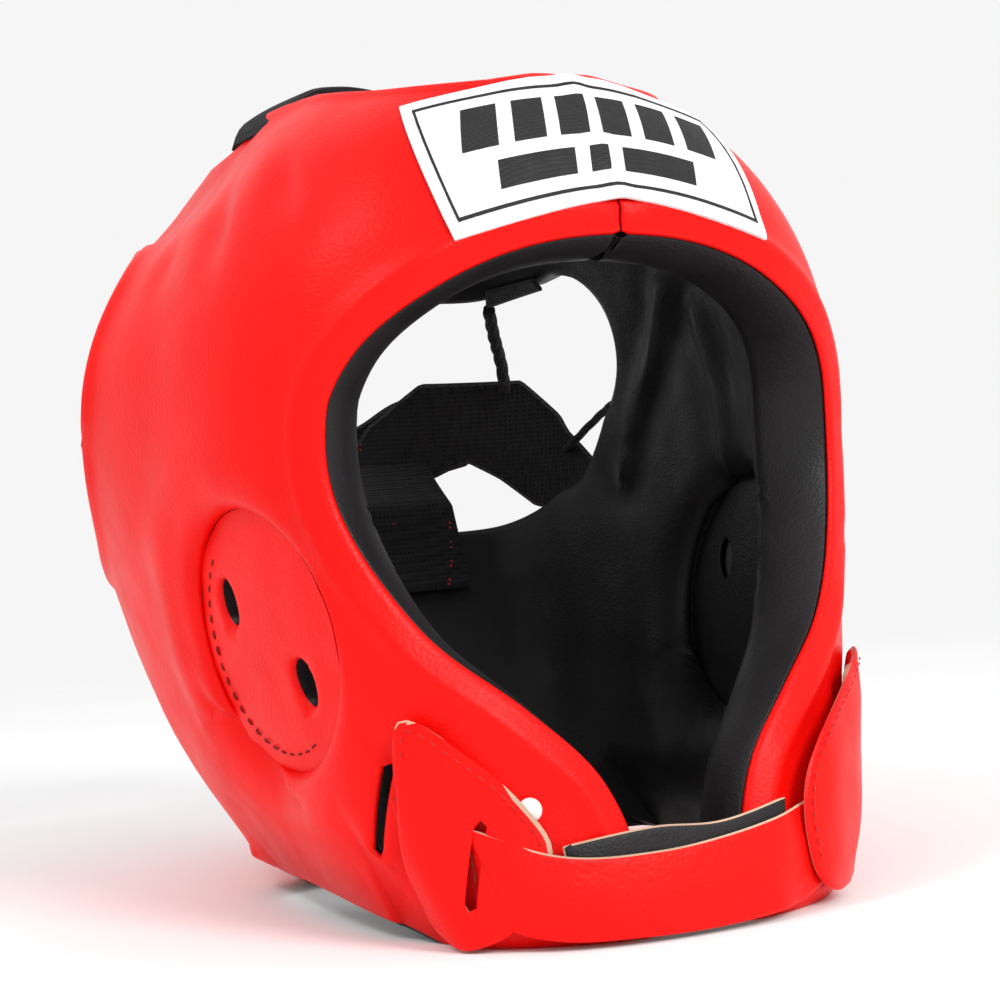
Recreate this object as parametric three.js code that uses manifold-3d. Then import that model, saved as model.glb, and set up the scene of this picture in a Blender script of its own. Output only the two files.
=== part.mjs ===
// Boxing headgear, open-face pattern, in millimetres.
// +Z is up, the wearer faces -Y, and the wearer's right hand side is -X.
// The padded shell is two mirrored halves, each a leather cover, a foam pad and a lining,
// sewn together down the forehead. Everything on the shell is placed by an azimuth and a polar
// angle on one smooth head surface, and by a depth below that surface.
import * as THREE from 'three';
import { mergeVertices } from 'three/addons/utils/BufferGeometryUtils.js';
import Module from 'manifold-3d';

const wasm = await Module();
wasm.setup();

// Head surface
const HALF_WIDTH = 103;        // centre plane to the widest point of the cover
const FRONT_DEPTH = 95;        // ear plane to the forehead
const REAR_DEPTH = 152;        // ear plane to the back of the head
const FRONT_ROUNDNESS = 2.4;   // superellipse exponent of the front half
const REAR_ROUNDNESS = 4;      // superellipse exponent of the rear half
const EQUATOR_Z = 148;         // height of the widest level
const CROWN_RISE = 111;        // equator to the top of the crown
const LOWER_REACH = 223;       // polar scale of the part below the equator
const CROWN_TAPER = 0.91;
const LOWER_TAPER = 1.19;
const JAW_REACH = 33.5;        // how far the lower edge leans forward
const NAPE_PINCH = 0.12;       // how much the lower rear narrows
const DROP = 133;              // equator to the level where the lean is measured

// Pad layers, as depths below the head surface
const COVER = [0, 1.6];
const FOAM = [1.9, 22.4];
const LINING = [22.7, 24];

// Joints between the two halves and the openings of the shell
const SEAM_GAP = 0.4;          // forehead seam
const NAPE_GAP = 9;            // slit behind the head, closed by the rear strap
const CROWN_HOLE = { y: 15, halfWidth: 50, halfLength: 66, roundness: 3, from: 185 };
const EAR = { azimuth: 78.5, polar: 107.3, radius: 38, gap: 0.8, sunk: 9 };
const EAR_HOLE = { halfWidth: 5, halfHeight: 7.2, apart: 38, tilt: 52 };
const SLOT = { width: 3, height: 27, tilt: 27 };
const REST_SHIFT = 21.7;       // moves the ear plane back so the whole part is centred on Y = 0

// Thin goods
const PATCH_GAP = 1;           // clearance under whatever is laid on the cover
const LEATHER = 1.5;
const WEB = 1.6;
const HOOK = 1;

const group = new THREE.Group();
group.position.y = -REST_SHIFT;

const material = (color, roughness, metalness = 0) => (
  () => new THREE.MeshStandardMaterial({ color, roughness, metalness })
);
const redLeather = material(0xd81f1c, 0.42);
const blackLining = material(0x231c20, 0.7);
const greyFoam = material(0x4a4a4e, 0.95);
const blackWeb = material(0x17161a, 0.85);
const hookFabric = material(0x0f0f11, 0.95);
const labelCloth = material(0xe9e9e6, 0.6);
const rivetEnamel = material(0xe6e4de, 0.35);
const lacing = material(0x141214, 0.8);

// ---- Head surface ---------------------------------------------------------------------------

// Point of the head surface. Azimuth 0 is the forehead, 90 the wearer's left ear, and polar
// 0 is the crown. Both are in degrees.
function headPoint(azimuth, polar) {
  const a = THREE.MathUtils.degToRad(azimuth);
  const p = THREE.MathUtils.degToRad(polar);
  const upper = polar <= 90;
  const z = EQUATOR_Z + (upper ? CROWN_RISE : LOWER_REACH) * Math.cos(p);
  const spread = Math.sin(p) ** (upper ? CROWN_TAPER : LOWER_TAPER);
  const side = Math.sin(a);
  const front = Math.cos(a);
  const depth = front > 0 ? FRONT_DEPTH : REAR_DEPTH;
  const power = front > 0 ? FRONT_ROUNDNESS : REAR_ROUNDNESS;
  const sum = (Math.abs(side) / HALF_WIDTH) ** power + (Math.abs(front) / depth) ** power;
  const radius = spread / sum ** (1 / power);
  const drop = Math.max(0, (EQUATOR_Z - z) / DROP);
  const rear = Math.max(0, -front) ** 1.5;
  const pinch = 1 - NAPE_PINCH * rear * Math.min(drop, 1) ** 1.3;
  return new THREE.Vector3(
    radius * side * pinch,
    -radius * front - JAW_REACH * drop ** 2,
    z,
  );
}

function headNormal(azimuth, polar) {
  const step = 0.5;
  const across = headPoint(azimuth + step, polar).sub(headPoint(azimuth - step, polar));
  const down = headPoint(azimuth, polar + step).sub(headPoint(azimuth, polar - step));
  return down.cross(across).normalize();
}

// Point at a depth below the head surface; a negative depth is outside it.
function at(azimuth, polar, depth) {
  return headPoint(azimuth, polar).addScaledVector(headNormal(azimuth, polar), -depth);
}

// Height of the crown above a point of the ground plane.
function crownPoint(x, y, depth) {
  const azimuth = THREE.MathUtils.radToDeg(Math.atan2(x, -y));
  const edge = headPoint(azimuth, 90);
  const share = Math.min(0.999, Math.hypot(x, y) / Math.hypot(edge.x, edge.y));
  const polar = THREE.MathUtils.radToDeg(Math.asin(share ** (1 / CROWN_TAPER)));
  return at(azimuth, Math.max(polar, 1), depth);
}

// ---- Solids ---------------------------------------------------------------------------------

function toSolid(points, triangles) {
  let volume = 0;
  for (const [a, b, c] of triangles) {
    volume += points[a].dot(points[b].clone().cross(points[c]));
  }
  const order = volume > 0 ? [0, 1, 2] : [0, 2, 1];
  return new wasm.Manifold(new wasm.Mesh({
    numProp: 3,
    vertProperties: new Float32Array(points.flatMap((p) => p.toArray())),
    triVerts: new Uint32Array(triangles.flatMap((t) => order.map((k) => t[k]))),
  }));
}

function fromGeometry(geometry) {
  const plain = geometry.clone();
  plain.deleteAttribute('normal');
  plain.deleteAttribute('uv');
  const merged = mergeVertices(plain, 1e-4);
  const position = merged.getAttribute('position');
  const index = merged.getIndex();
  const points = [];
  for (let i = 0; i < position.count; i += 1) {
    points.push(new THREE.Vector3().fromBufferAttribute(position, i));
  }
  const triangles = [];
  for (let i = 0; i < index.count; i += 3) {
    triangles.push([index.getX(i), index.getX(i + 1), index.getX(i + 2)]);
  }
  return toSolid(points, triangles);
}

// Closed sheet between two grids of the same size.
function sheet(columns, rows, outer, inner) {
  const points = [];
  for (const face of [outer, inner]) {
    for (let i = 0; i <= columns; i += 1) {
      for (let j = 0; j <= rows; j += 1) {
        points.push(face(i / columns, j / rows));
      }
    }
  }
  const half = points.length / 2;
  const id = (i, j, side) => side * half + i * (rows + 1) + j;
  const triangles = [];
  const quad = (a, b, c, d) => triangles.push([a, b, c], [a, c, d]);
  for (let i = 0; i < columns; i += 1) {
    for (let j = 0; j < rows; j += 1) {
      quad(id(i, j, 0), id(i, j + 1, 0), id(i + 1, j + 1, 0), id(i + 1, j, 0));
      quad(id(i, j, 1), id(i + 1, j, 1), id(i + 1, j + 1, 1), id(i, j + 1, 1));
    }
    quad(id(i, 0, 0), id(i + 1, 0, 0), id(i + 1, 0, 1), id(i, 0, 1));
    quad(id(i, rows, 0), id(i, rows, 1), id(i + 1, rows, 1), id(i + 1, rows, 0));
  }
  for (let j = 0; j < rows; j += 1) {
    quad(id(0, j, 0), id(0, j, 1), id(0, j + 1, 1), id(0, j + 1, 0));
    quad(id(columns, j, 0), id(columns, j + 1, 0), id(columns, j + 1, 1), id(columns, j, 1));
  }
  return toSolid(points, triangles);
}

// Smooth closed outline through [azimuth, polar] pairs.
function outline(pairs, count) {
  const corners = pairs.map(([a, p]) => new THREE.Vector3(a, p, 0));
  const curve = new THREE.CatmullRomCurve3(corners, true, 'centripetal');
  return curve.getSpacedPoints(count).slice(0, count).map((v) => [v.x, v.y]);
}

// Closed outline with straight sides, each cut into equal steps.
function polygon(pairs, steps) {
  return pairs.flatMap(([a, p], k) => {
    const [nextA, nextP] = pairs[(k + 1) % pairs.length];
    return Array.from({ length: steps }, (_, step) => [
      a + ((nextA - a) * step) / steps,
      p + ((nextP - p) * step) / steps,
    ]);
  });
}

// Closed patch of the head surface inside an outline, from one depth to another.
function patch(rim, [azimuth, polar], [top, bottom], rings) {
  const count = rim.length;
  const points = [];
  for (const depth of [top, bottom]) {
    points.push(at(azimuth, polar, depth));
    for (let ring = 1; ring <= rings; ring += 1) {
      for (const [a, p] of rim) {
        const share = ring / rings;
        points.push(at(azimuth + (a - azimuth) * share, polar + (p - polar) * share, depth));
      }
    }
  }
  const half = points.length / 2;
  const id = (ring, k, side) => side * half + 1 + (ring - 1) * count + (k % count);
  const triangles = [];
  for (let k = 0; k < count; k += 1) {
    triangles.push([0, id(1, k, 0), id(1, k + 1, 0)]);
    triangles.push([half, id(1, k + 1, 1), id(1, k, 1)]);
    for (let ring = 1; ring < rings; ring += 1) {
      triangles.push([id(ring, k, 0), id(ring + 1, k, 0), id(ring + 1, k + 1, 0)]);
      triangles.push([id(ring, k, 0), id(ring + 1, k + 1, 0), id(ring, k + 1, 0)]);
      triangles.push([id(ring, k, 1), id(ring + 1, k + 1, 1), id(ring + 1, k, 1)]);
      triangles.push([id(ring, k, 1), id(ring, k + 1, 1), id(ring + 1, k + 1, 1)]);
    }
    triangles.push([id(rings, k, 0), id(rings, k, 1), id(rings, k + 1, 1)]);
    triangles.push([id(rings, k, 0), id(rings, k + 1, 1), id(rings, k + 1, 0)]);
  }
  return toSolid(points, triangles);
}

// Strap laid along the head surface between an upper and a lower edge line. Its mid depth
// depends on the place along it, u, and across it, v.
function strap(upperEdge, lowerEdge, depthAt, thickness, columns, rows = 3) {
  const lay = (extra) => (u, v) => {
    const high = upperEdge(u);
    const low = lowerEdge(u);
    const azimuth = high[0] + (low[0] - high[0]) * v;
    const polar = high[1] + (low[1] - high[1]) * v;
    return at(azimuth, polar, depthAt(u, v) + extra);
  };
  return sheet(columns, rows, lay(-thickness / 2), lay(thickness / 2));
}

function line(...pairs) {
  const curve = new THREE.CatmullRomCurve3(pairs.map(([a, p]) => new THREE.Vector3(a, p, 0)));
  return (u) => {
    const point = curve.getPoint(u);
    return [point.x, point.y];
  };
}

// Cutter or disc whose axis is the surface normal at a place on the head surface.
function standOn(geometry, azimuth, polar, depth, spin = 0) {
  const normal = headNormal(azimuth, polar);
  const up = headPoint(azimuth, polar - 1).sub(headPoint(azimuth, polar + 1));
  up.addScaledVector(normal, -up.dot(normal)).normalize();
  const side = new THREE.Vector3().crossVectors(up, normal);
  const frame = new THREE.Matrix4().makeBasis(side, up, normal);
  frame.multiply(new THREE.Matrix4().makeRotationZ(spin));
  frame.setPosition(at(azimuth, polar, depth));
  return fromGeometry(geometry.clone().applyMatrix4(frame));
}

function box(low, high) {
  const size = high.map((value, k) => value - low[k]);
  const geometry = new THREE.BoxGeometry(...size);
  geometry.translate(...low.map((value, k) => value + size[k] / 2));
  return fromGeometry(geometry);
}

const mirrored = (solid) => solid.mirror([1, 0, 0]);

function add(name, solid, paint) {
  const mesh = solid.getMesh();
  const geometry = new THREE.BufferGeometry();
  const corners = new Float32Array(mesh.vertProperties);
  geometry.setAttribute('position', new THREE.BufferAttribute(corners, 3));
  geometry.setIndex(Array.from(mesh.triVerts));
  geometry.computeVertexNormals();
  const part = new THREE.Mesh(geometry, paint());
  part.name = name;
  group.add(part);
}

// ---- Shell halves ---------------------------------------------------------------------------

// The wearer's left half is built first, at positive azimuths, and mirrored for the right.
const FACE_RIM = [
  [0, 66.5], [19, 68.5], [33, 74], [46, 83.5], [50.5, 95], [42, 105.5], [28, 112.5],
  [16.5, 118.5], [12.5, 125], [12, 134], [0, 141],
];
// The lower edge rises behind the ear and comes back down to the base at the nape.
const NECK_ARCH_RIM = [
  [58, 133.5], [70, 130.6], [86, 129.3], [104, 128.6], [122, 128.4], [136, 128.6], [146, 130],
  [154, 134], [150, 142], [110, 142], [75, 142],
];
const WINDOW_RIM = [
  [120, 78], [123, 68.5], [132, 63.5], [150, 62.5], [180, 62.5], [210, 62.5], [228, 63.5],
  [237, 68.5], [240, 78], [238, 88], [230, 96], [214, 101.5], [180, 102], [146, 101.5],
  [130, 96], [122, 88],
];

function mirrorRim(half) {
  const middle = half.slice(1, -1);
  return [...half, ...middle.reverse().map(([a, p]) => [-a, p])];
}

function halfLayer(depths) {
  const face = (depth) => (u, v) => at(180 * u, 20 + 116 * v, depth);
  return sheet(14, 10, face(depths[0]), face(depths[1]));
}

function earSolid(radius, from, to) {
  const disc = new THREE.CylinderGeometry(radius, radius, to - from, 24);
  disc.rotateX(Math.PI / 2);
  return standOn(disc, EAR.azimuth, EAR.polar, (from + to) / 2);
}

function earHoles() {
  const bore = new THREE.CylinderGeometry(1, 1, 60, 10);
  bore.rotateX(Math.PI / 2);
  bore.scale(EAR_HOLE.halfWidth, EAR_HOLE.halfHeight, 1);
  const tilt = THREE.MathUtils.degToRad(EAR_HOLE.tilt);
  const shift = EAR_HOLE.apart / 2;
  const upper = bore.clone().translate(Math.cos(tilt) * shift, Math.sin(tilt) * shift, 0);
  const lower = bore.clone().translate(-Math.cos(tilt) * shift, -Math.sin(tilt) * shift, 0);
  const place = (hole) => standOn(hole, EAR.azimuth, EAR.polar, 0);
  return place(upper).add(place(lower));
}

function crownCutter() {
  const rim = Array.from({ length: 28 }, (_, k) => {
    const turn = (2 * Math.PI * (k + 0.5)) / 28;
    const reach = (value) => Math.sign(value) * Math.abs(value) ** (2 / CROWN_HOLE.roundness);
    return new THREE.Vector2(
      CROWN_HOLE.halfWidth * reach(Math.cos(turn)),
      CROWN_HOLE.y + CROWN_HOLE.halfLength * reach(Math.sin(turn)),
    );
  });
  const column = new THREE.ExtrudeGeometry(new THREE.Shape(rim), {
    depth: 120,
    bevelEnabled: false,
  });
  return fromGeometry(column.translate(0, 0, CROWN_HOLE.from));
}

const cheekSlotPlace = [58.5, 120.3, 12];
const slotCutter = standOn(
  new THREE.BoxGeometry(SLOT.width, SLOT.height, 50),
  ...cheekSlotPlace,
  THREE.MathUtils.degToRad(SLOT.tilt),
);

const shellCutters = [
  patch(outline(mirrorRim(FACE_RIM), 30), [0, 97], [-12, 40], 4),
  patch(outline(WINDOW_RIM, 22), [180, 82], [-12, 40], 4),
  crownCutter(),
  patch(outline(NECK_ARCH_RIM, 16), [110, 136], [-12, 40], 3),
  box([-300, -300, -90], [300, 300, 0]),
  earSolid(EAR.radius, -20, 45),
  slotCutter,
  box([-300, -300, -60], [SEAM_GAP / 2, 300, 400]),
  box([-1, 0, -60], [NAPE_GAP / 2, 300, 400]),
];

function shellLayer(depths) {
  return shellCutters.reduce((solid, cutter) => solid.subtract(cutter), halfLayer(depths));
}

const shellLayers = [
  ['cover', COVER, redLeather],
  ['foam_pad', FOAM, greyFoam],
  ['lining', LINING, blackLining],
];
for (const [layerName, depths, paint] of shellLayers) {
  const leftHalf = shellLayer(depths);
  add(`right_${layerName}`, mirrored(leftHalf), paint);
  add(`left_${layerName}`, leftHalf, paint);
}

// ---- Ears -----------------------------------------------------------------------------------

const earLayers = [
  ['ear_pad', EAR.sunk, EAR.sunk + 8, redLeather],
  ['ear_lining', EAR.sunk + 8.3, EAR.sunk + 9.8, blackLining],
];
for (const [layerName, from, to, paint] of earLayers) {
  const leftEar = earSolid(EAR.radius - EAR.gap, from, to).subtract(earHoles());
  add(`right_${layerName}`, mirrored(leftEar), paint);
  add(`left_${layerName}`, leftEar, paint);
}

// ---- Forehead label -------------------------------------------------------------------------

const LABEL_RIM = [
  [-44, 39], [-38, 53], [-31, 67], [-16, 63.8], [0, 61.5], [16, 63.8], [31, 67], [38, 53],
  [44, 39], [22, 36], [0, 34.5], [-22, 36],
];
const labelDepths = [-PATCH_GAP - 0.9, -PATCH_GAP];
add('forehead_label', patch(polygon(LABEL_RIM, 2), [0, 50], labelDepths, 5), labelCloth);

// ---- Chin closure ---------------------------------------------------------------------------

// The right cheek flap is sewn to the shell and has a slot; the strap comes out of that slot,
// crosses the chin and ends in the left cheek flap, which sticks to the left cheek.
const RIGHT_FLAP_RIM = [
  [-49, 112.8], [-40, 116.4], [-34, 120.2], [-31.5, 123], [-37, 127.5], [-46, 130.4], [-58, 130.4],
  [-59.5, 126.5], [-53.5, 118.5],
];
const LEFT_FLAP_RIM = [
  [55, 111], [40, 113.3], [29, 117], [25, 120.7], [27.5, 124], [38, 129.8], [52, 130.3],
  [62, 128], [62, 118],
];
const flapDepths = [-3.6 - LEATHER, -3.6];
const flapSlot = standOn(
  new THREE.BoxGeometry(SLOT.width, 24, 30),
  -44.5,
  124,
  0,
  THREE.MathUtils.degToRad(-SLOT.tilt),
);
const rightFlap = patch(RIGHT_FLAP_RIM, [-47, 122.5], flapDepths, 3).subtract(flapSlot);
add('right_cheek_flap', rightFlap, redLeather);

const strapTop = line([-43, 121], [-30, 123.6], [-12, 124.1], [8, 123.4], [28, 121.8], [46, 120]);
const strapBase = line([-49, 128.4], [-36, 130.4], [-18, 131], [6, 131], [28, 130.2], [48, 128.4]);
const chinStrap = strap(strapTop, strapBase, (u) => -6.4 + 1.6 * u, WEB, 18);
add('chin_strap', chinStrap, redLeather);

const liningTop = line([-28.5, 122.6], [-12, 123], [4, 122.5], [22, 121]);
const liningBase = line([-29, 129.6], [-12, 130], [4, 130], [22, 129.4]);
const chinLining = strap(liningTop, liningBase, () => -3.3, WEB, 10);
add('chin_strap_backing', chinLining, redLeather);

const anchorTop = line([-62, 118.5], [-47, 120.6]);
const anchorBase = line([-63, 126.5], [-52, 127.6]);
const anchor = strap(anchorTop, anchorBase, () => -2.2, WEB, 4);
add('chin_strap_anchor', anchor, redLeather);

const leftFlapDepths = [-6.4 - LEATHER, -6.4];
add('left_cheek_flap', patch(LEFT_FLAP_RIM, [44, 121.5], leftFlapDepths, 3), redLeather);

const gripTop = line([33, 118], [50, 117]);
const gripBase = line([33, 127], [52, 126.4]);
add('chin_hook_patch', strap(gripTop, gripBase, () => -3.3, HOOK, 4), hookFabric);
add('chin_loop_patch', strap(gripTop, gripBase, () => -1.7, HOOK, 4), hookFabric);

const rivetDisc = new THREE.CylinderGeometry(3.2, 3.2, 2, 20);
rivetDisc.rotateX(Math.PI / 2);
add('cheek_rivet', standOn(rivetDisc, -32.2, 119.9, -2.2), rivetEnamel);

// ---- Rear closure ---------------------------------------------------------------------------

const PANEL_RIM = [
  [122.6, 85], [136, 86], [147, 81.5], [164, 81], [171, 86], [176, 91], [175.5, 95.5], [158, 95.5], [153, 94],
  [146, 97.3], [141, 98.8], [134, 96.6], [127.5, 92.6],
];
const panelDepths = [1, 1 + WEB];
add('rear_panel', patch(polygon(PANEL_RIM, 2), [147, 90], panelDepths, 3), blackWeb);

const tabUpper = line([157, 94], [175.5, 94]);
const tabLower = line([150, 109.5], [173, 109.5]);
const tabDepth = (u, v) => 4.4 + 23.5 * Math.min(1, v * 2.6);
add('rear_panel_tab', strap(tabUpper, tabLower, tabDepth, WEB, 3, 8), blackWeb);

const rearTop = line([-122.4, 84.2], [-150, 82.5], [-180, 82], [-206, 82.8]);
const rearLow = line([-127.6, 93], [-150, 95], [-180, 95], [-206, 94]);
const rearDepth = (u) => 3 - 8.4 * THREE.MathUtils.smoothstep(u, 0.48, 0.8);
add('rear_strap', strap(rearTop, rearLow, rearDepth, WEB, 16), blackWeb);

const rearGripTop = line([-192, 83.5], [-204, 83.5]);
const rearGripLow = line([-192, 94], [-204, 94]);
add('rear_hook_patch', strap(rearGripTop, rearGripLow, () => -3.1, HOOK, 4), hookFabric);
add('rear_loop_patch', strap(rearGripTop, rearGripLow, () => -1.5, HOOK, 4), hookFabric);

// ---- Crown closure --------------------------------------------------------------------------

const CROWN_BAND = { from: 4, to: 52, base: [-74, -66], span: [-65, 86], grip: [60, 82] };
// Height of the strap over the crown surface, by X: it sags where it crosses the opening.
const SAG = [
  [-65, 1.8], [-50, 2], [-36, 1], [-18, -2], [4, -5], [28, -4], [44, 0], [54, 5.2], [86, 5.4],
];

function crownBand([fromX, toX], [fromY, toY], depthAt, thickness, columns) {
  const lay = (extra) => (u, v) => {
    const x = fromX + (toX - fromX) * u;
    return crownPoint(x, fromY + (toY - fromY) * v, depthAt(x) + extra);
  };
  return sheet(columns, 4, lay(-thickness / 2), lay(thickness / 2));
}

const { from: bandFront, to: bandBack, base: bandBase, span: bandSpan, grip: bandGrip } = CROWN_BAND;
const crownSweep = [bandFront, bandBack];
const gripSweep = [bandFront + 5, bandBack - 5];
const sagCurve = new THREE.SplineCurve(SAG.map(([x, rise]) => new THREE.Vector2(x, rise)));
const sagPoints = sagCurve.getPoints(200);
const bandDepth = (x) => -sagPoints.find((point) => point.x >= x - 1e-6).y;
add('crown_strap_base', crownBand(bandBase, crownSweep, () => -1.8, WEB, 3), blackWeb);
add('crown_strap', crownBand(bandSpan, crownSweep, bandDepth, WEB, 16), blackWeb);
add('crown_hook_patch', crownBand(bandGrip, gripSweep, () => -3.6, HOOK, 5), hookFabric);
add('crown_loop_patch', crownBand(bandGrip, gripSweep, () => -1.9, HOOK, 5), hookFabric);

const edgeTop = line([124, 57], [150, 56]);
const edgeLow = line([124, 65], [150, 64.5]);
add('crown_edge_strip', strap(edgeTop, edgeLow, () => 27.4, WEB, 6, 2), hookFabric);

// ---- Laces ----------------------------------------------------------------------------------

// Laces are held at both ends: each runs from the crown or side pad down to the rear panel.
function lace(name, route, radius) {
  const path = new THREE.CatmullRomCurve3(route.map(([a, p, depth]) => at(a, p, depth)));
  const section = new THREE.Shape();
  section.absarc(0, 0, radius, 0, 2 * Math.PI);
  const tube = new THREE.ExtrudeGeometry(section, {
    steps: 8,
    curveSegments: 4,
    extrudePath: path,
    bevelEnabled: false,
  });
  add(name, fromGeometry(tube), lacing);
}
lace('crown_lace', [[146, 65.9, 26.2], [147, 72, 18], [148, 79, 7.4], [148, 84.5, 6]], 2.4);
lace('side_lace', [[122.6, 82.6, 19], [127, 85, 15], [132, 89, 4.6]], 1.5);

export default group;
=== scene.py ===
import math

import bpy
import numpy as np
from mathutils import Matrix, Vector, noise
from mathutils.geometry import delaunay_2d_cdt


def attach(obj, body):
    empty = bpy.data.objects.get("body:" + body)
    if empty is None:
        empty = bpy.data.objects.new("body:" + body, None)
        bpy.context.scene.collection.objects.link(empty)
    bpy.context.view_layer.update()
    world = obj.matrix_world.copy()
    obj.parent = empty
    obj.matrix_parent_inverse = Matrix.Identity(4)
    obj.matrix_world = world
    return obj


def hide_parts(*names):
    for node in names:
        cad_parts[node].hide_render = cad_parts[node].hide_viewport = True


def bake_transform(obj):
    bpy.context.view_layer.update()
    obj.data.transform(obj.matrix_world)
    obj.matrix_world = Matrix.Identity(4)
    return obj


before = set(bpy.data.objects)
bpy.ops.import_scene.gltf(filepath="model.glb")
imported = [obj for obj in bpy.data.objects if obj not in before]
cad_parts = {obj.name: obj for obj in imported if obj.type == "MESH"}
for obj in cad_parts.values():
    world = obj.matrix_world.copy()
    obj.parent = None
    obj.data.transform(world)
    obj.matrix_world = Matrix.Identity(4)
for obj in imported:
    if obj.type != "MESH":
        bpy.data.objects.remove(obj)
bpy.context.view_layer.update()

# Boxing headgear, open-face pattern. Lengths here are millimetres and angles degrees, and a mesh
# is brought to metres when it is made. The wearer faces -Y and the wearer's right is -X. A place
# on the shell is an azimuth (0 forehead, 90 left ear), a polar angle (0 crown) and a depth below
# the smooth head surface that the CAD model is built on.
MM = 0.001

# ---- Camera ---------------------------------------------------------------------------------

VIEW_AZIMUTH = -28.5
VIEW_ELEVATION = -0.9
VIEW_ROLL = -3.4
VIEW_DISTANCE = 732.0
VIEW_TARGET = (0.0, -21.7, 135.0)
SENSOR = 36.0
LENS = 84.86
AIM_RIGHT = 0.00508            # how far the picture's centre is right of the target, per unit
AIM_UP = -0.02183              # and above it


def set_camera():
    azimuth, elevation, roll = (math.radians(v) for v in (VIEW_AZIMUTH, VIEW_ELEVATION, VIEW_ROLL))
    back = Vector((
        math.sin(azimuth) * math.cos(elevation),
        -math.cos(azimuth) * math.cos(elevation),
        math.sin(elevation),
    ))
    right = Vector((math.cos(azimuth), math.sin(azimuth), 0))
    up = back.cross(right)
    rolled_right = right * math.cos(roll) + up * math.sin(roll)
    rolled_up = -right * math.sin(roll) + up * math.cos(roll)
    place = (Vector(VIEW_TARGET) + back * VIEW_DISTANCE) * MM
    forward = (-back + rolled_right * AIM_RIGHT + rolled_up * AIM_UP).normalized()
    side = forward.cross(rolled_up).normalized()
    top = side.cross(forward)
    camera = bpy.data.objects.new("camera", bpy.data.cameras.new("camera"))
    camera.data.lens = LENS
    camera.data.sensor_width = SENSOR
    camera.matrix_world = Matrix((
        (side.x, top.x, -forward.x, place.x),
        (side.y, top.y, -forward.y, place.y),
        (side.z, top.z, -forward.z, place.z),
        (0, 0, 0, 1),
    ))
    bpy.context.scene.collection.objects.link(camera)
    bpy.context.scene.camera = camera


set_camera()

# ---- Head surface ---------------------------------------------------------------------------

HALF_WIDTH = 103
FRONT_DEPTH = 95
REAR_DEPTH = 152
FRONT_ROUNDNESS = 2.4
REAR_ROUNDNESS = 4
EQUATOR_Z = 148
CROWN_RISE = 111
LOWER_REACH = 223
CROWN_TAPER = 0.91
LOWER_TAPER = 1.19
JAW_REACH = 33.5
NAPE_PINCH = 0.12
DROP = 133
REST_SHIFT = 21.7
PAD_DEPTH = 24                 # head surface to the inner face of the lining


def head_point(azimuth, polar):
    azimuth, polar = np.broadcast_arrays(np.asarray(azimuth, float), np.asarray(polar, float))
    a, p = np.radians(azimuth), np.radians(polar)
    upper = polar <= 90
    z = EQUATOR_Z + np.where(upper, CROWN_RISE, LOWER_REACH) * np.cos(p)
    spread = np.sin(p) ** np.where(upper, CROWN_TAPER, LOWER_TAPER)
    side, front = np.sin(a), np.cos(a)
    depth = np.where(front > 0, FRONT_DEPTH, REAR_DEPTH)
    power = np.where(front > 0, FRONT_ROUNDNESS, REAR_ROUNDNESS)
    total = (np.abs(side) / HALF_WIDTH) ** power + (np.abs(front) / depth) ** power
    radius = spread / total ** (1 / power)
    drop = np.maximum(0, (EQUATOR_Z - z) / DROP)
    rear = np.maximum(0, -front) ** 1.5
    pinch = 1 - NAPE_PINCH * rear * np.minimum(drop, 1) ** 1.3
    x = radius * side * pinch
    y = -radius * front - JAW_REACH * drop ** 2 - REST_SHIFT
    return np.stack([x, y, z], axis=-1)


def head_steps(azimuth, polar):
    """Change of the head point for one degree of azimuth, and for one degree of polar angle."""
    across = head_point(azimuth + 0.5, polar) - head_point(azimuth - 0.5, polar)
    down = head_point(azimuth, polar + 0.5) - head_point(azimuth, polar - 0.5)
    return across, down


def unit(vectors):
    return vectors / np.maximum(np.linalg.norm(vectors, axis=-1, keepdims=True), 1e-12)


def outward_at(places):
    """Outward directions of the head surface at (azimuth, polar) places."""
    across, down = head_steps(places[..., 0], places[..., 1])
    return unit(np.cross(down, across))


def lay(places, depth):
    """Points at a depth under (azimuth, polar) places; a negative depth is outside the shell."""
    places = np.asarray(places, float)
    depth = np.broadcast_to(np.asarray(depth, float), places.shape[:-1])
    return head_point(places[..., 0], places[..., 1]) - outward_at(places) * depth[..., None]


def crown_place(x, y):
    """(azimuth, polar) under points of the ground plane, for the part above the equator."""
    x, y = np.broadcast_arrays(np.asarray(x, float), np.asarray(y, float))
    azimuth = np.degrees(np.arctan2(x, -y))
    edge = head_point(azimuth, 90.0)
    reach = np.hypot(edge[..., 0], edge[..., 1] + REST_SHIFT)
    share = np.minimum(0.999, np.hypot(x, y) / reach)
    return np.stack([azimuth, np.degrees(np.arcsin(share ** (1 / CROWN_TAPER)))], axis=-1)


def tangent_frame(azimuth, polar):
    """Side, up and outward directions of the head surface at a place."""
    normal = outward_at(np.array([azimuth, polar], float))
    up = head_point(azimuth, polar - 1) - head_point(azimuth, polar + 1)
    up = unit(up - normal * np.dot(up, normal))
    return np.cross(up, normal), up, normal


def places_from(azimuth, polar, offsets):
    """Places on the head surface whose offsets from a place are given along its side and up."""
    offsets = np.asarray(offsets, float)
    side, up, _ = tangent_frame(azimuth, polar)
    centre = head_point(azimuth, polar)
    places = np.tile([float(azimuth), float(polar)], (len(offsets), 1))
    for _ in range(12):
        across, down = head_steps(places[:, 0], places[:, 1])
        gap = head_point(places[:, 0], places[:, 1]) - centre
        miss_side = offsets[:, 0] - gap @ side
        miss_up = offsets[:, 1] - gap @ up
        a, b, c, d = across @ side, down @ side, across @ up, down @ up
        scale = a * d - b * c
        places[:, 0] += (d * miss_side - b * miss_up) / scale
        places[:, 1] += (a * miss_up - c * miss_side) / scale
    return places


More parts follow.
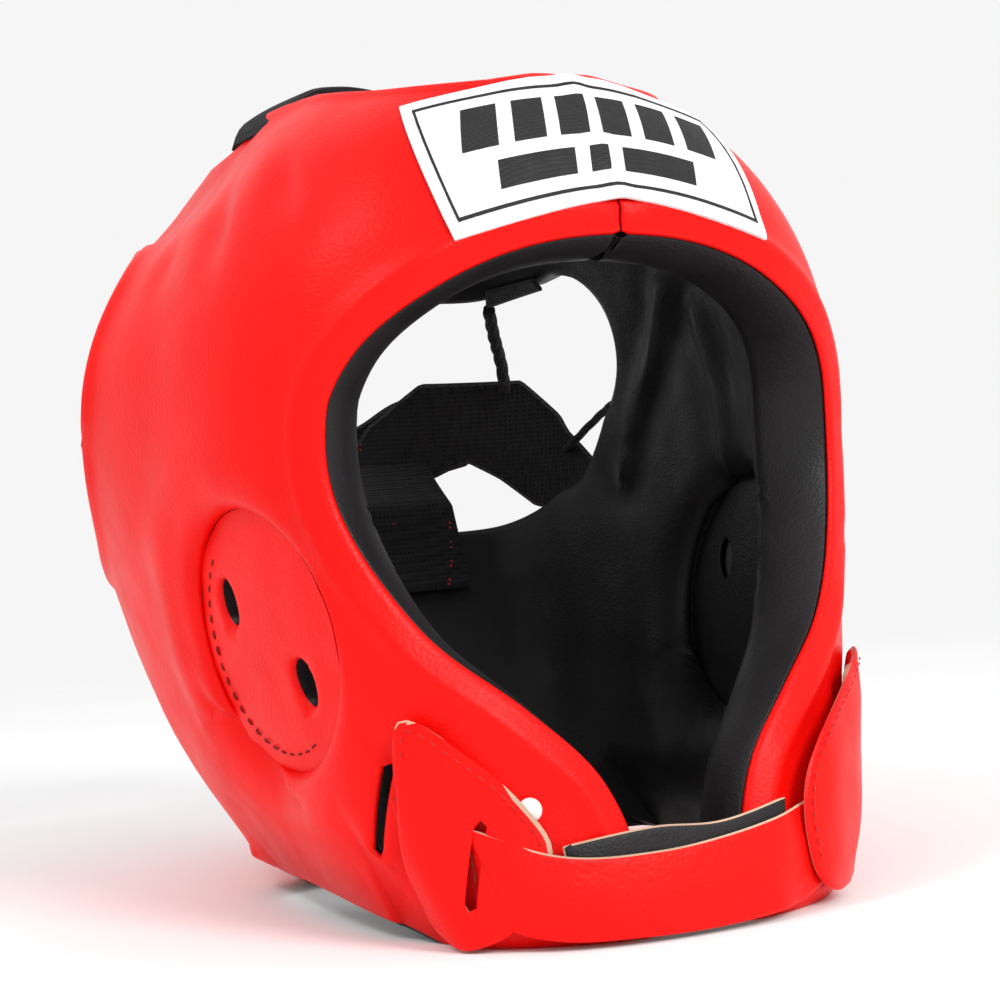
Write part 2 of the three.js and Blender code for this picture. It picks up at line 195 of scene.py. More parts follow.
# ---- Curves and outlines --------------------------------------------------------------------

FINE_STEP = 0.5                # spacing of the points that distances are measured to
COUNT_UNIT = 6                 # a closed line has a multiple of this many points


def catmull(points, count, closed=False):
    """Centripetal Catmull-Rom curve through points, as evenly spread points."""
    points = np.asarray(points, float)
    if closed:
        padded = np.vstack([points[-1], points, points[0], points[1]])
    else:
        padded = np.vstack([2 * points[0] - points[1], points, 2 * points[-1] - points[-2]])
    fine = []
    for p0, p1, p2, p3 in zip(padded, padded[1:], padded[2:], padded[3:]):
        t0 = 0.0
        t1 = t0 + max(np.linalg.norm(p1 - p0), 1e-6) ** 0.5
        t2 = t1 + max(np.linalg.norm(p2 - p1), 1e-6) ** 0.5
        t3 = t2 + max(np.linalg.norm(p3 - p2), 1e-6) ** 0.5
        t = np.linspace(t1, t2, 24, endpoint=False)[:, None]
        a1 = (t1 - t) / (t1 - t0) * p0 + (t - t0) / (t1 - t0) * p1
        a2 = (t2 - t) / (t2 - t1) * p1 + (t - t1) / (t2 - t1) * p2
        a3 = (t3 - t) / (t3 - t2) * p2 + (t - t2) / (t3 - t2) * p3
        b1 = (t2 - t) / (t2 - t0) * a1 + (t - t0) / (t2 - t0) * a2
        b2 = (t3 - t) / (t3 - t1) * a2 + (t - t1) / (t3 - t1) * a3
        fine.append((t2 - t) / (t2 - t1) * b1 + (t - t1) / (t2 - t1) * b2)
    fine = np.vstack(fine + [points[:1] if closed else points[-1:]])
    return spaced(fine, count + 1 if closed else count)[:count]


def run_along(points):
    """Length of a polyline from its start to each of its points."""
    return np.concatenate([[0], np.cumsum(np.linalg.norm(np.diff(points, axis=0), axis=1))])


def sampled(values, run, at):
    """Rows of values, known at the lengths run, read off at other lengths."""
    return np.stack([np.interp(at, run, column) for column in values.T], axis=-1)


def spaced(points, count):
    """count points evenly spread by length along an open polyline."""
    points = np.asarray(points, float)
    run = run_along(points)
    return sampled(points, run, np.linspace(0, run[-1], count))


def surface_spaced(places):
    """A closed line of places, cut again so that its points are FINE_STEP apart on the surface."""
    closed = np.vstack([places, places[:1]])
    run = run_along(head_point(closed[:, 0], closed[:, 1]))
    count = int(round(run[-1] / FINE_STEP / COUNT_UNIT)) * COUNT_UNIT
    return sampled(closed, run, np.linspace(0, run[-1], count, endpoint=False))


def blurred(values, reach):
    """Values round a closed line of FINE_STEP steps, averaged over a reach to both sides."""
    window = max(1, int(reach / FINE_STEP))
    weights = np.hanning(2 * window + 1)
    weights /= weights.sum()
    return sum(w * np.roll(values, k - window, axis=0) for k, w in enumerate(weights))


def smoothstep(value, low, high):
    t = np.clip((np.asarray(value, float) - low) / (high - low), 0, 1)
    return t * t * (3 - 2 * t)


def ripple(points, size, seed, octaves=2):
    """Smooth noise from about -1 to 1 at points, with features of a size in millimetres."""
    shift = Vector((seed * 17.3, seed * 5.9, seed * 11.1))
    return np.array([
        noise.fractal(Vector(p) / size + shift, 1.0, 2.0, octaves, noise_basis="PERLIN_ORIGINAL")
        for p in points
    ])


# ---- Triangulated regions of the head surface -----------------------------------------------

EDGE_STEP = 3.0                # spacing of the mesh points along an edge
ROW_SHARE = 0.87               # distance of the grid's rows, as a share of its spacing
NEAREST_BLOCK = 400            # points handled at a time, to spare memory
POLAR_TABLE = np.linspace(0, 150, 601)
POLAR_STEPS = np.linalg.norm(np.diff(head_point(90.0, POLAR_TABLE), axis=0), axis=1)
POLAR_LENGTH = np.concatenate([[0], np.cumsum(POLAR_STEPS)])
AZIMUTH_LENGTH = 1.75          # millimetres for a degree of azimuth in the flat layout


def to_flat(places):
    along = np.interp(places[:, 1], POLAR_TABLE, POLAR_LENGTH)
    return np.stack([places[:, 0] * AZIMUTH_LENGTH, along], axis=1)


def from_flat(flat):
    polar = np.interp(flat[:, 1], POLAR_LENGTH, POLAR_TABLE)
    return np.stack([flat[:, 0] / AZIMUTH_LENGTH, polar], axis=1)


def inside(points, loop):
    """Which flat points a closed flat loop holds."""
    x, y = points[:, 0][:, None], points[:, 1][:, None]
    x0, y0 = loop[:, 0][None], loop[:, 1][None]
    x1, y1 = np.roll(loop[:, 0], -1)[None], np.roll(loop[:, 1], -1)[None]
    spans = (y0 > y) != (y1 > y)
    rise = np.where(y1 == y0, 1e-9, y1 - y0)
    return (np.sum(spans & (x < (x1 - x0) * (y - y0) / rise + x0), axis=1) % 2) == 1


def nearest(points, targets):
    """Distance from each point to its nearest target, and which target that is."""
    distance, index = np.zeros(len(points)), np.zeros(len(points), int)
    for start in range(0, len(points), NEAREST_BLOCK):
        block = slice(start, start + NEAREST_BLOCK)
        gap = np.linalg.norm(points[block, None] - targets[None], axis=2)
        index[block], distance[block] = gap.argmin(axis=1), gap.min(axis=1)
    return distance, index


def renumbered(faces):
    """Faces counted over the points they use, and which points those are."""
    used, index = np.unique(faces, return_inverse=True)
    return index.reshape(faces.shape), used


class Region:
    """A piece of the head surface inside an outer loop and outside holes, cut into triangles.

    Each loop is an array of (azimuth, polar, kind) rows about FINE_STEP apart. Rows of points
    follow the edges at the given distances, and a grid fills the middle."""

    def __init__(self, loops, rows, spacing, step=EDGE_STEP):
        skip = max(1, int(round(step / FINE_STEP)))
        self.samples = np.vstack(loops)
        self.sample_points = head_point(self.samples[:, 0], self.samples[:, 1])
        self.inward = np.vstack([
            self.inward_steps(loop, hole=number > 0) for number, loop in enumerate(loops)
        ])
        coarse = [loop[::skip, :2] for loop in loops]
        offsets = np.cumsum([0] + [len(loop) for loop in loops])
        inward = [self.inward[start:stop][::skip] for start, stop in zip(offsets, offsets[1:])]
        flat_loops = [to_flat(loop) for loop in coarse]
        placed = np.vstack(coarse)
        solid = head_point(placed[:, 0], placed[:, 1])
        edge, directions = placed, np.vstack(inward)
        for before, row in zip(rows, rows[1:]):
            moved = edge + directions * row
            points = head_point(moved[:, 0], moved[:, 1])
            far = nearest(points, self.sample_points)[0] >= 0.9 * row
            clear = nearest(points, solid)[0] >= 0.7 * (row - before)
            keep = far & clear & self.held(to_flat(moved), flat_loops)
            keep[keep] = self.thinned(points[keep], 0.5 * (row - before))
            placed = np.vstack([placed, moved[keep]])
            solid = np.vstack([solid, points[keep]])
        grid = self.grid(flat_loops[0], spacing)
        points = head_point(grid[:, 0], grid[:, 1])
        keep = self.held(to_flat(grid), flat_loops)
        keep &= nearest(points, self.sample_points)[0] > rows[-1] + 0.35 * spacing
        keep &= nearest(points, solid)[0] > 0.6 * spacing
        placed = np.vstack([placed, grid[keep]])
        self.triangulate(placed, flat_loops)
        self.surface = head_point(self.places[:, 0], self.places[:, 1])
        self.distance, self.near = {}, {}
        for kind in np.unique(self.samples[:, 2].astype(int)):
            chosen = np.flatnonzero(self.samples[:, 2].astype(int) == kind)
            self.distance[kind], index = nearest(self.surface, self.sample_points[chosen])
            self.near[kind] = chosen[index]

    @staticmethod
    def inward_steps(loop, hole):
        """Change of place, in degrees, for a millimetre into the region from each loop point."""
        ahead = np.roll(loop[:, :2], -4, axis=0) - np.roll(loop[:, :2], 4, axis=0)
        across, down = head_steps(loop[:, 0], loop[:, 1])
        wide, tall = np.linalg.norm(across, axis=1), np.linalg.norm(down, axis=1)
        run = unit(np.stack([ahead[:, 0] * wide, ahead[:, 1] * tall], axis=1))
        turned = np.roll(loop[:, :2], -1, axis=0)
        area = np.sum(loop[:, 0] * turned[:, 1] - turned[:, 0] * loop[:, 1])
        sign = np.sign(area) * (-1 if hole else 1)
        return np.stack([-run[:, 1] / wide, run[:, 0] / tall], axis=1) * sign

    @staticmethod
    def held(flat, flat_loops):
        """Which flat points lie inside the outer loop and outside the holes."""
        kept = inside(flat, flat_loops[0])
        for loop in flat_loops[1:]:
            kept &= ~inside(flat, loop)
        return kept

    @staticmethod
    def thinned(points, gap):
        """Which points of a row stay when those too near the one before are left out."""
        kept = np.ones(len(points), bool)
        for k in range(1, len(points)):
            if kept[k - 1] and np.linalg.norm(points[k] - points[k - 1]) < gap:
                kept[k] = False
        return kept

    @staticmethod
    def grid(outer, spacing):
        """Places of a triangular grid over the box round a flat loop."""
        low, high = outer.min(axis=0), outer.max(axis=0)
        lines = []
        for k, y in enumerate(np.arange(low[1], high[1], spacing * ROW_SHARE)):
            x = np.arange(low[0] + (k % 2) * spacing / 2, high[0], spacing)
            lines.append(np.stack([x, np.full(len(x), y)], axis=1))
        return from_flat(np.vstack(lines))

    def triangulate(self, placed, flat_loops):
        """Sets the faces, all facing outward, and the places of their corners."""
        flat = to_flat(placed)
        edges, start = [], 0
        for loop in flat_loops:
            count = len(loop)
            edges += [(start + k, start + (k + 1) % count) for k in range(count)]
            start += count
        made = delaunay_2d_cdt([Vector(p) for p in flat], edges, [], 0, 1e-5)
        flat = np.array([tuple(v) for v in made[0]])
        faces = np.array([tuple(f) for f in made[2]])
        faces = faces[self.held(flat[faces].mean(axis=1), flat_loops)]
        turn = np.cross(flat[faces[:, 1]] - flat[faces[:, 0]], flat[faces[:, 2]] - flat[faces[:, 0]])
        real = np.abs(turn) > 1e-7
        faces, turn = faces[real], turn[real]
        faces[turn > 0] = faces[turn > 0][:, ::-1]
        self.faces, used = renumbered(faces)
        self.places = from_flat(flat[used])


# ---- Mesh making ----------------------------------------------------------------------------

FLOOR_GAP = 0.1                # the lowest points stand this far above the floor


def add_mesh(name, points, faces, materials, face_materials=None, body="shell", sharp=None):
    """Smooth-shaded piece that rides on a body; sharp is the angle above which an edge shows."""
    points = np.array(points, float)
    if body:
        points[:, 2] = np.maximum(points[:, 2], FLOOR_GAP)
    mesh = bpy.data.meshes.new(name)
    mesh.from_pydata((points * MM).tolist(), [], [list(map(int, f)) for f in faces])
    for paint in materials if isinstance(materials, (list, tuple)) else [materials]:
        mesh.materials.append(paint)
    if face_materials is not None:
        mesh.polygons.foreach_set("material_index", np.asarray(face_materials, np.int32))
    mesh.polygons.foreach_set("use_smooth", np.ones(len(mesh.polygons), bool))
    mesh.update()
    if sharp:
        mesh.set_sharp_from_angle(angle=math.radians(sharp))
    piece = bpy.data.objects.new(name, mesh)
    bpy.context.scene.collection.objects.link(piece)
    if body:
        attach(piece, body)
    return piece


def declared(piece, slot, *nodes):
    """Hides the CAD nodes that a piece stands for; the slot is not used."""
    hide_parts(*nodes)
    return piece


def normals_of(points, faces):
    corner = points[faces]
    flat = np.cross(corner[:, 1] - corner[:, 0], corner[:, 2] - corner[:, 0])
    total = np.zeros_like(points)
    for k in range(3):
        np.add.at(total, faces[:, k], flat)
    return unit(total)


def closed_layer(front, back, faces):
    """Faces of a closed layer: a front, a back and the walls along the free edges."""
    count = len(front)
    directed = {(int(f[k]), int(f[(k + 1) % 3])) for f in faces for k in range(3)}
    rim = [(a, b) for a, b in directed if (b, a) not in directed]
    walls = [(b, a, a + count, b + count) for a, b in rim]
    skins = [tuple(f) for f in faces] + [tuple(int(i) + count for i in f[::-1]) for f in faces]
    return np.vstack([front, back]), skins + walls, len(skins)


def merged(parts):
    """One list of points and faces from several closed parts."""
    points, faces, start = [], [], 0
    for part_points, part_faces in parts:
        points.append(part_points)
        faces += [tuple(int(i) + start for i in face) for face in part_faces]
        start += len(part_points)
    return np.vstack(points), faces


def grid_faces(rows, columns):
    """Triangles over a grid of points, two for each cell."""
    cells = [
        (r * columns + c, r * columns + c + 1, (r + 1) * columns + c + 1, (r + 1) * columns + c)
        for r in range(rows - 1) for c in range(columns - 1)
    ]
    return np.array([t for a, b, c, d in cells for t in ((a, d, c), (a, c, b))])


def tube_of(rings):
    """Closed tube through rings of points."""
    count = len(rings[0])
    faces = [
        (r * count + k, r * count + (k + 1) % count, (r + 1) * count + (k + 1) % count,
         (r + 1) * count + k)
        for r in range(len(rings) - 1) for k in range(count)
    ]
    faces.append(tuple(range(count))[::-1])
    faces.append(tuple(range((len(rings) - 1) * count, len(rings) * count)))
    return np.vstack(rings), faces


def circle_round(turn, first, second):
    """Directions at angles from a first direction towards a second."""
    return np.cos(turn)[:, None] * first + np.sin(turn)[:, None] * second


# ---- Materials ------------------------------------------------------------------------------

class Paint:
    """A node material with a Principled shader, built up a node at a time."""

    def __init__(self, name):
        self.material = bpy.data.materials.new(name)
        self.material.use_nodes = True
        self.tree = self.material.node_tree
        self.shader = self.tree.nodes["Principled BSDF"]
        self.place = self.node("ShaderNodeTexCoord").outputs["Object"]

    def node(self, kind, **settings):
        made = self.tree.nodes.new(kind)
        for key, value in settings.items():
            setattr(made, key, value)
        return made

    def link(self, source, target):
        self.tree.links.new(source, target)

    def pattern(self, kind, output, inputs, **settings):
        """Output of a texture node laid over the object's own coordinates."""
        made = self.node(kind, **settings)
        for key, value in inputs.items():
            made.inputs[key].default_value = value
        self.link(self.place, made.inputs["Vector"])
        return made.outputs[output]

    def noise(self, scale, detail=3.0, roughness=0.55):
        inputs = {"Scale": scale, "Detail": detail, "Roughness": roughness}
        return self.pattern("ShaderNodeTexNoise", "Fac", inputs)

    def cells(self, scale):
        return self.pattern("ShaderNodeTexVoronoi", "Distance", {"Scale": scale})

    def waves(self, scale, direction, distortion):
        inputs = {"Scale": scale, "Distortion": distortion}
        return self.pattern("ShaderNodeTexWave", "Fac", inputs, bands_direction=direction)

    def ramp(self, source, low, high, span=(0.0, 1.0)):
        made = self.node("ShaderNodeMapRange")
        for key, value in zip(("From Min", "From Max", "To Min", "To Max"), (*span, low, high)):
            made.inputs[key].default_value = value
        self.link(source, made.inputs["Value"])
        return made.outputs["Result"]

    def combined(self, first, second, operation="ADD"):
        made = self.node("ShaderNodeMath", operation=operation)
        self.link(first, made.inputs[0])
        self.link(second, made.inputs[1])
        return made.outputs["Value"]

    def colours(self, source, first, second, span=(0.35, 0.65)):
        made = self.node("ShaderNodeValToRGB")
        for stop, position, colour in zip(made.color_ramp.elements, span, (first, second)):
            stop.position, stop.color = position, (*colour, 1)
        self.link(source, made.inputs["Fac"])
        self.link(made.outputs["Color"], self.shader.inputs["Base Color"])

    def rough(self, source, low, high, span=(0.3, 0.7)):
        self.link(self.ramp(source, low, high, span), self.shader.inputs["Roughness"])

    def bump(self, source, depth, strength=1.0):
        made = self.node("ShaderNodeBump")
        made.inputs["Strength"].default_value = strength
        made.inputs["Distance"].default_value = depth
        self.link(source, made.inputs["Height"])
        self.link(made.outputs["Normal"], self.shader.inputs["Normal"])

    def set(self, **values):
        for key, value in values.items():
            self.shader.inputs[key.replace("_", " ")].default_value = value
        return self.material


def leather(name, light, dark, roughness, grain, depth, strength, specular):
    """Pored and creased skin: two colours, a span of roughness, and grains per metre."""
    paint = Paint(name)
    pores = paint.ramp(paint.cells(grain), 0.0, 0.5, (0.0, 0.7))
    creases = paint.ramp(paint.noise(260.0, 4.0), 0.0, 0.6)
    paint.bump(paint.combined(pores, creases), depth, strength)
    paint.colours(paint.noise(22.0, 4.0), dark, light)
    paint.rough(paint.noise(60.0, 3.0), *roughness)
    return paint.set(Specular_IOR_Level=specular)


def weave(name, light, dark, scale, depth, rough=0.85):
    """Woven cloth or twisted thread: two colours and threads per metre."""
    paint = Paint(name)
    warp, weft, cross = (paint.waves(scale, direction, 0.6) for direction in "XZY")
    height = paint.combined(paint.combined(warp, weft, "MAXIMUM"), cross)
    paint.bump(height, depth, 0.7)
    paint.colours(height, dark, light, (0.4, 0.8))
    paint.rough(paint.noise(180.0), rough - 0.08, rough + 0.08)
    return paint.set(Specular_IOR_Level=0.3)


red_leather = leather("red_leather", (0.88, 0.004, 0.002), (0.80, 0.003, 0.002), (0.34, 0.44),
                      900.0, 0.00035, 0.35, 0.14)
strap_leather = leather("strap_leather", (0.86, 0.004, 0.002), (0.77, 0.003, 0.002),
                        (0.36, 0.48), 700.0, 0.0004, 0.45, 0.14)
black_lining = leather("black_lining", (0.011, 0.009, 0.0105), (0.006, 0.005, 0.006),
                       (0.42, 0.58), 1100.0, 0.0003, 0.5, 0.28)
foam_rubber = leather("foam", (0.10, 0.10, 0.105), (0.07, 0.07, 0.075), (0.9, 0.98),
                      1500.0, 0.0005, 0.8, 0.2)
raw_edge = leather("raw_edge", (0.62, 0.42, 0.30), (0.42, 0.25, 0.17), (0.75, 0.95),
                   1600.0, 0.0004, 0.8, 0.2)
black_webbing = weave("black_webbing", (0.016, 0.015, 0.017), (0.006, 0.006, 0.007), 190.0, 0.0004)
label_cloth = weave("label_cloth", (0.80, 0.80, 0.80), (0.66, 0.66, 0.67), 420.0, 0.00012, 0.6)
label_ink = weave("label_ink", (0.012, 0.011, 0.012), (0.007, 0.007, 0.008), 420.0, 0.00012, 0.55)
lacing = weave("lacing", (0.020, 0.018, 0.019), (0.006, 0.006, 0.006), 260.0, 0.0006)
red_thread = weave("red_thread", (0.60, 0.022, 0.022), (0.36, 0.010, 0.012), 900.0, 0.0002, 0.6)
dark_thread = weave("dark_thread", (0.30, 0.006, 0.008), (0.16, 0.003, 0.004), 900.0, 0.0002, 0.6)
black_thread = weave("black_thread", (0.03, 0.028, 0.03), (0.012, 0.011, 0.012), 900.0, 0.0002, 0.6)


def fuzzy(name):
    paint = Paint(name)
    fibres = paint.noise(1400.0, 5.0, 0.7)
    paint.bump(fibres, 0.0008, 1.0)
    paint.colours(fibres, (0.004, 0.004, 0.004), (0.03, 0.028, 0.03), (0.35, 0.75))
    return paint.set(Roughness=0.95, Specular_IOR_Level=0.2, Sheen_Weight=0.3)


def enamel(name):
    paint = Paint(name)
    paint.colours(paint.noise(300.0, 3.0), (0.72, 0.70, 0.66), (0.86, 0.85, 0.82))
    paint.bump(paint.noise(900.0, 2.0), 0.0001, 0.4)
    paint.rough(paint.noise(500.0), 0.22, 0.4)
    return paint.set(Specular_IOR_Level=0.55, Coat_Weight=0.25)


hook_fabric = fuzzy("hook_fabric")
rivet_enamel = enamel("rivet_enamel")

# ---- Outlines of the shell ------------------------------------------------------------------

FACE, SEAM, CROWN, NAPE, WINDOW, BASE, EAR, SLOT = range(8)
SEAM_AZIMUTH = 0.12            # half of the forehead seam
NAPE_HALF_GAP = 4.5
CROWN_HOLE = (50.0, 66.0, 15.0, 3.0)      # half width, half length, centre Y, superellipse power
BASE_POLAR = 132.6             # a little under the rest plane, since the edge is rounded
EAR_PLACE = (80.3, 107.3)
EAR_RADIUS = 39.3
EAR_DEEP_SIDE = -40.0          # direction, from rear towards up, in which the dish is deepest
EAR_TILT = 2.0
EAR_PAD_SUNK = 9.6             # plane of the pad's face at its middle
EAR_PAD_LAP = 0.15             # the cover's edge rests on the pad's face
EAR_LINING_SUNK = 17.3
EAR_LINING_LAP = 2.6           # the lining's edge lies this far inside the backing's plane
EAR_HOLE = (5.0, 7.2)          # half width and half height
EAR_HOLES_APART = 42.6
EAR_HOLES_TILT = 45.3
CHEEK_SLOT = (58.9, 119.6, 3.0, 27.0, 35.0)    # place, width, height and tilt
FLAP_SLOT = (-44.5, 124.0, 3.0, 24.0, -27.0)
FACE_RIM = [
    (0, 66.5), (19, 68.3), (34, 73.5), (48.5, 83.5), (53.5, 95), (43.5, 105.8), (28, 112.5),
    (16.5, 118.5), (12.5, 125), (12, 134), (0, 141),
]
WINDOW_RIM = [
    (119, 78), (121, 67), (127.5, 61.5), (150, 60.5), (180, 60.5), (210, 60.5), (232.5, 61.5),
    (239, 67), (241, 78), (238, 88), (230, 96), (214, 101.5), (180, 102), (146, 101.5),
    (130, 96), (122, 88),
]
NECK_ARCH = [
    (48, 134), (58, 133), (70, 130.9), (86, 129.7), (104, 129), (122, 128.9), (136, 129.3),
    (146, 130.4), (154, 133.5), (162, 134),
]
CORNER_REACH = 9.0             # length over which a corner of the shell's edge is rounded


def kinded(places, kind):
    """Places with the kind of edge they lie on as a third column."""
    return np.column_stack([places, np.full(len(places), kind)])


def nape_azimuth(polar):
    """Azimuth of the cut between the two rear halves, which leaves an even gap."""
    rim = head_point(180.0, np.asarray(polar, float))
    reach = np.abs(rim[..., 1] + REST_SHIFT)
    return 180 - np.degrees(np.arcsin(NAPE_HALF_GAP / np.maximum(reach, 20)))


def shell_outline():
    """Outer edge of the wearer's left half, from the forehead round the rear to the cheek."""
    mirrored = [(-a, p) for a, p in FACE_RIM[1:-1]][::-1]
    face = catmull(FACE_RIM + mirrored, 1600, closed=True)
    face = face[(face[:, 0] >= SEAM_AZIMUTH) & (face[:, 1] <= BASE_POLAR)]
    turn = np.radians(np.linspace(-90, 90, 400))
    wide, long, middle, power = CROWN_HOLE
    x = wide * np.abs(np.cos(turn)) ** (2 / power)
    y = middle + long * np.sign(np.sin(turn)) * np.abs(np.sin(turn)) ** (2 / power)
    crown = crown_place(x, y)
    crown[:, 0] = np.maximum(crown[:, 0], SEAM_AZIMUTH)
    window = catmull(WINDOW_RIM, 1600, closed=True)
    start = int(np.argmin(np.abs(window[:, 0] - 180) + 10 * (window[:, 1] > 80)))
    window = np.roll(window, -start, axis=0)
    if window[40, 0] > 180:
        window = np.roll(window[::-1], 1, axis=0)
    window = window[window[:, 0] <= nape_azimuth(window[:, 1])]
    crown = crown[crown[:, 0] <= nape_azimuth(crown[:, 1])]
    upper_nape = np.linspace(crown[-1, 1], window[0, 1], 80)[1:-1]
    lower_nape = np.linspace(window[-1, 1], BASE_POLAR, 80)[1:-1]
    arch = catmull(NECK_ARCH, 400)
    azimuth = np.linspace(nape_azimuth(BASE_POLAR), face[:, 0][np.argmax(face[:, 1])], 500)
    bottom = np.minimum(BASE_POLAR, np.interp(azimuth, arch[:, 0], arch[:, 1]))
    seam = np.linspace(face[0, 1], crown[0, 1], 80)[1:-1]
    loop = np.vstack([
        kinded(np.column_stack([np.full(len(seam), SEAM_AZIMUTH), seam]), SEAM),
        kinded(crown, CROWN),
        kinded(np.column_stack([nape_azimuth(upper_nape), upper_nape]), NAPE),
        kinded(window, WINDOW),
        kinded(np.column_stack([nape_azimuth(lower_nape), lower_nape]), NAPE),
        kinded(np.column_stack([azimuth, bottom]), BASE),
        kinded(face[::-1], FACE),
    ])
    return rounded_loop(loop)


def rounded_loop(loop):
    """A loop cut into fine steps, its corners rounded except those on the forehead seam."""
    places = surface_spaced(loop[:, :2])
    solid = head_point(places[:, 0], places[:, 1])
    kinds = loop[nearest(solid, head_point(loop[:, 0], loop[:, 1]))[1], 2]
    seam, count = np.flatnonzero(kinds == SEAM), len(places)
    steps = (np.arange(count)[:, None] - seam[None] + count // 2) % count - count // 2
    from_seam = np.abs(steps).min(axis=1) * FINE_STEP
    share = smoothstep(from_seam, 0, 1.6 * CORNER_REACH)[:, None]
    rounded = places * (1 - share) + blurred(places, CORNER_REACH) * share
    return np.column_stack([rounded, kinds])


def ring(azimuth, polar, radius):
    """Circle on the head surface round a place."""
    turn = np.radians(np.arange(0, 360, 0.7))
    offsets = radius * np.column_stack([np.cos(turn), np.sin(turn)])
    return surface_spaced(places_from(azimuth, polar, offsets))


def slot_loop(azimuth, polar, width, height, tilt):
    """Rounded slot whose long side leans by tilt from the up direction."""
    radius, reach = width / 2, height / 2 - width / 2
    turn = np.radians(np.arange(0, 180, 15))
    cap = radius * np.column_stack([np.cos(turn), np.sin(turn)])
    outline = np.vstack([cap + [0, reach], -cap - [0, reach]])
    lean = math.radians(tilt)
    spin = np.array([[math.cos(lean), -math.sin(lean)], [math.sin(lean), math.cos(lean)]])
    return surface_spaced(places_from(azimuth, polar, outline @ spin.T))


# ---- Shell halves ---------------------------------------------------------------------------

ROUND = {                      # how the cover rolls over at each kind of edge: width and fall
    FACE: (8, 3.2), SEAM: (5, 2.4), CROWN: (11, 6), NAPE: (10, 6), WINDOW: (9, 4.5),
    BASE: (10, 5.2), SLOT: (1.8, 1.5),
}
EAR_ROLL = (10.0, 16.0)        # width of the cover's roll into the dish, shallow and deep side
EAR_CREST = (16.0, 6.5, 1.6)   # puffed ridge round the dish: distance, spread and height
EDGE_ROWS = (0, 0.35, 1.2, 2.6, 4.4, 6.3, 8.2, 10, 12, 15, 19)
COVER_THICK = 1.3
LINING_THICK = 1.1
CREST = (7.6, 2.7, 1.7)        # puffed ridge inside the edges: distance, spread and height
WALL_KINDS = (FACE, CROWN, NAPE, WINDOW, BASE)
WALL_REACH = 8.0               # rows of the region that stand up as the wall of the pad
WALL_BULGE = 1.6
WALL_CORNER = 4.0
WALL_SWAY = 12                 # length over which the lean of a wall changes
INNER_START = (12, 24)         # distances between which the inner face catches up with the region
SKEW_END = 38                  # distance from the edge at which a leaning wall's shift has gone
SIDE_WINDOW = 132              # azimuth up to which the window's edge counts as its side
LINING_EAR = 14                # width of the lining's slope down to the ear backing
LINING_SEAM = (5, 2.2)
FOAM_INSET = (4.2, 3.2)        # the foam stays this far from the walls and from other edges
FOAM_GAP = (0.9, 3.4)          # and this far under the cover and above the lining's inner face
WINDOW_LEAN = 6.0              # how much wider the window is inside than outside, at its sides
SWELLS = (                     # where the pads stand out or are drawn in: place, spreads, height
    (118, 83, 26, 17.5, 9.5), (128, 48.5, 30, 11, -12.5), (122, 104, 26, 8, -4.5),
    (60, 33, 30, 9, -5.0), (0, 37, 16, 8, 2.0), (64, 88, 24, 24, 2.2),
)
FOLDS = (                      # soft folds of the lining beside the window: line and height
    (((94, 66), (100, 74), (108, 85), (116, 96)), 2.6),
    (((86, 72), (84, 82), (81, 93), (79, 103)), 2.0),
)
FOLD_VALLEY = 0.6              # depth of the valleys beside a fold, as a share of its height
DENTS = (                      # puckers where the rear pad is pulled in: place, long, wide, deep
    (67, 54.6, 15, 5.5, 3.2), (85, 60, 17, 6, 3.4), (101, 66, 12, 6, 1.8),
)
DENT_LEAN = 35
RELAX_SHARE = 0.7
RELAX_ROUNDS = 20
BROAD_RIPPLE = (0.7, 46)       # height and size
FINE_RIPPLE = (0.15, 13)
LINING_RIPPLE = (1.1, 24)


def edge_round(distance, width, fall):
    """Fall of a quarter-ellipse edge at distances from it."""
    t = np.clip(distance / width, 0, 1)
    return fall * (1 - np.sqrt(np.maximum(0, 1 - (1 - t) ** 2)))


def swell_of(places):
    """How far the stuffing pushes the cover out at places."""
    azimuth, polar = places.T
    return sum(
        height * np.exp(-((azimuth - a) / wide) ** 2 - ((polar - p) / tall) ** 2)
        for a, p, wide, tall, height in SWELLS
    )


def ridge(distance, centre, spread, height):
    return height * np.exp(-((distance - centre) / spread) ** 2)


def plane_depth(places, centre, normal):
    """Depth along the head normal at which a plane is met."""
    gap = head_point(places[:, 0], places[:, 1]) - centre
    return (gap @ normal) / (outward_at(places) @ normal)


def ear_frame():
    """Side, up and outward directions of the ear dish, which is deeper at its lower rear."""
    side, up, normal = tangent_frame(*EAR_PLACE)
    lean = math.radians(EAR_DEEP_SIDE)
    deep = math.cos(lean) * side + math.sin(lean) * up
    normal = unit(normal + math.tan(math.radians(EAR_TILT)) * deep)
    side = unit(side - normal * (side @ normal))
    return side, np.cross(normal, side), normal


def deep_share(points):
    """From 0 on the shallow side of the ear dish to 1 on its deep side."""
    side, up, _ = tangent_frame(*EAR_PLACE)
    gap = points - head_point(*EAR_PLACE)
    turn = np.arctan2(gap @ up, gap @ side) - math.radians(EAR_DEEP_SIDE)
    return 0.5 + 0.5 * np.cos(turn)


def relaxed(values, faces, loose):
    """Values averaged with their neighbours over a mesh, by the share loose of each point."""
    pairs = np.vstack([faces[:, [0, 1]], faces[:, [1, 2]], faces[:, [2, 0]]])
    pairs = np.vstack([pairs, pairs[:, ::-1]])
    count = np.maximum(np.bincount(pairs[:, 0], minlength=len(values)), 1)
    for _ in range(RELAX_ROUNDS):
        around = np.bincount(pairs[:, 0], values[pairs[:, 1]], len(values)) / count
        values = values + loose * (around - values)
    return values


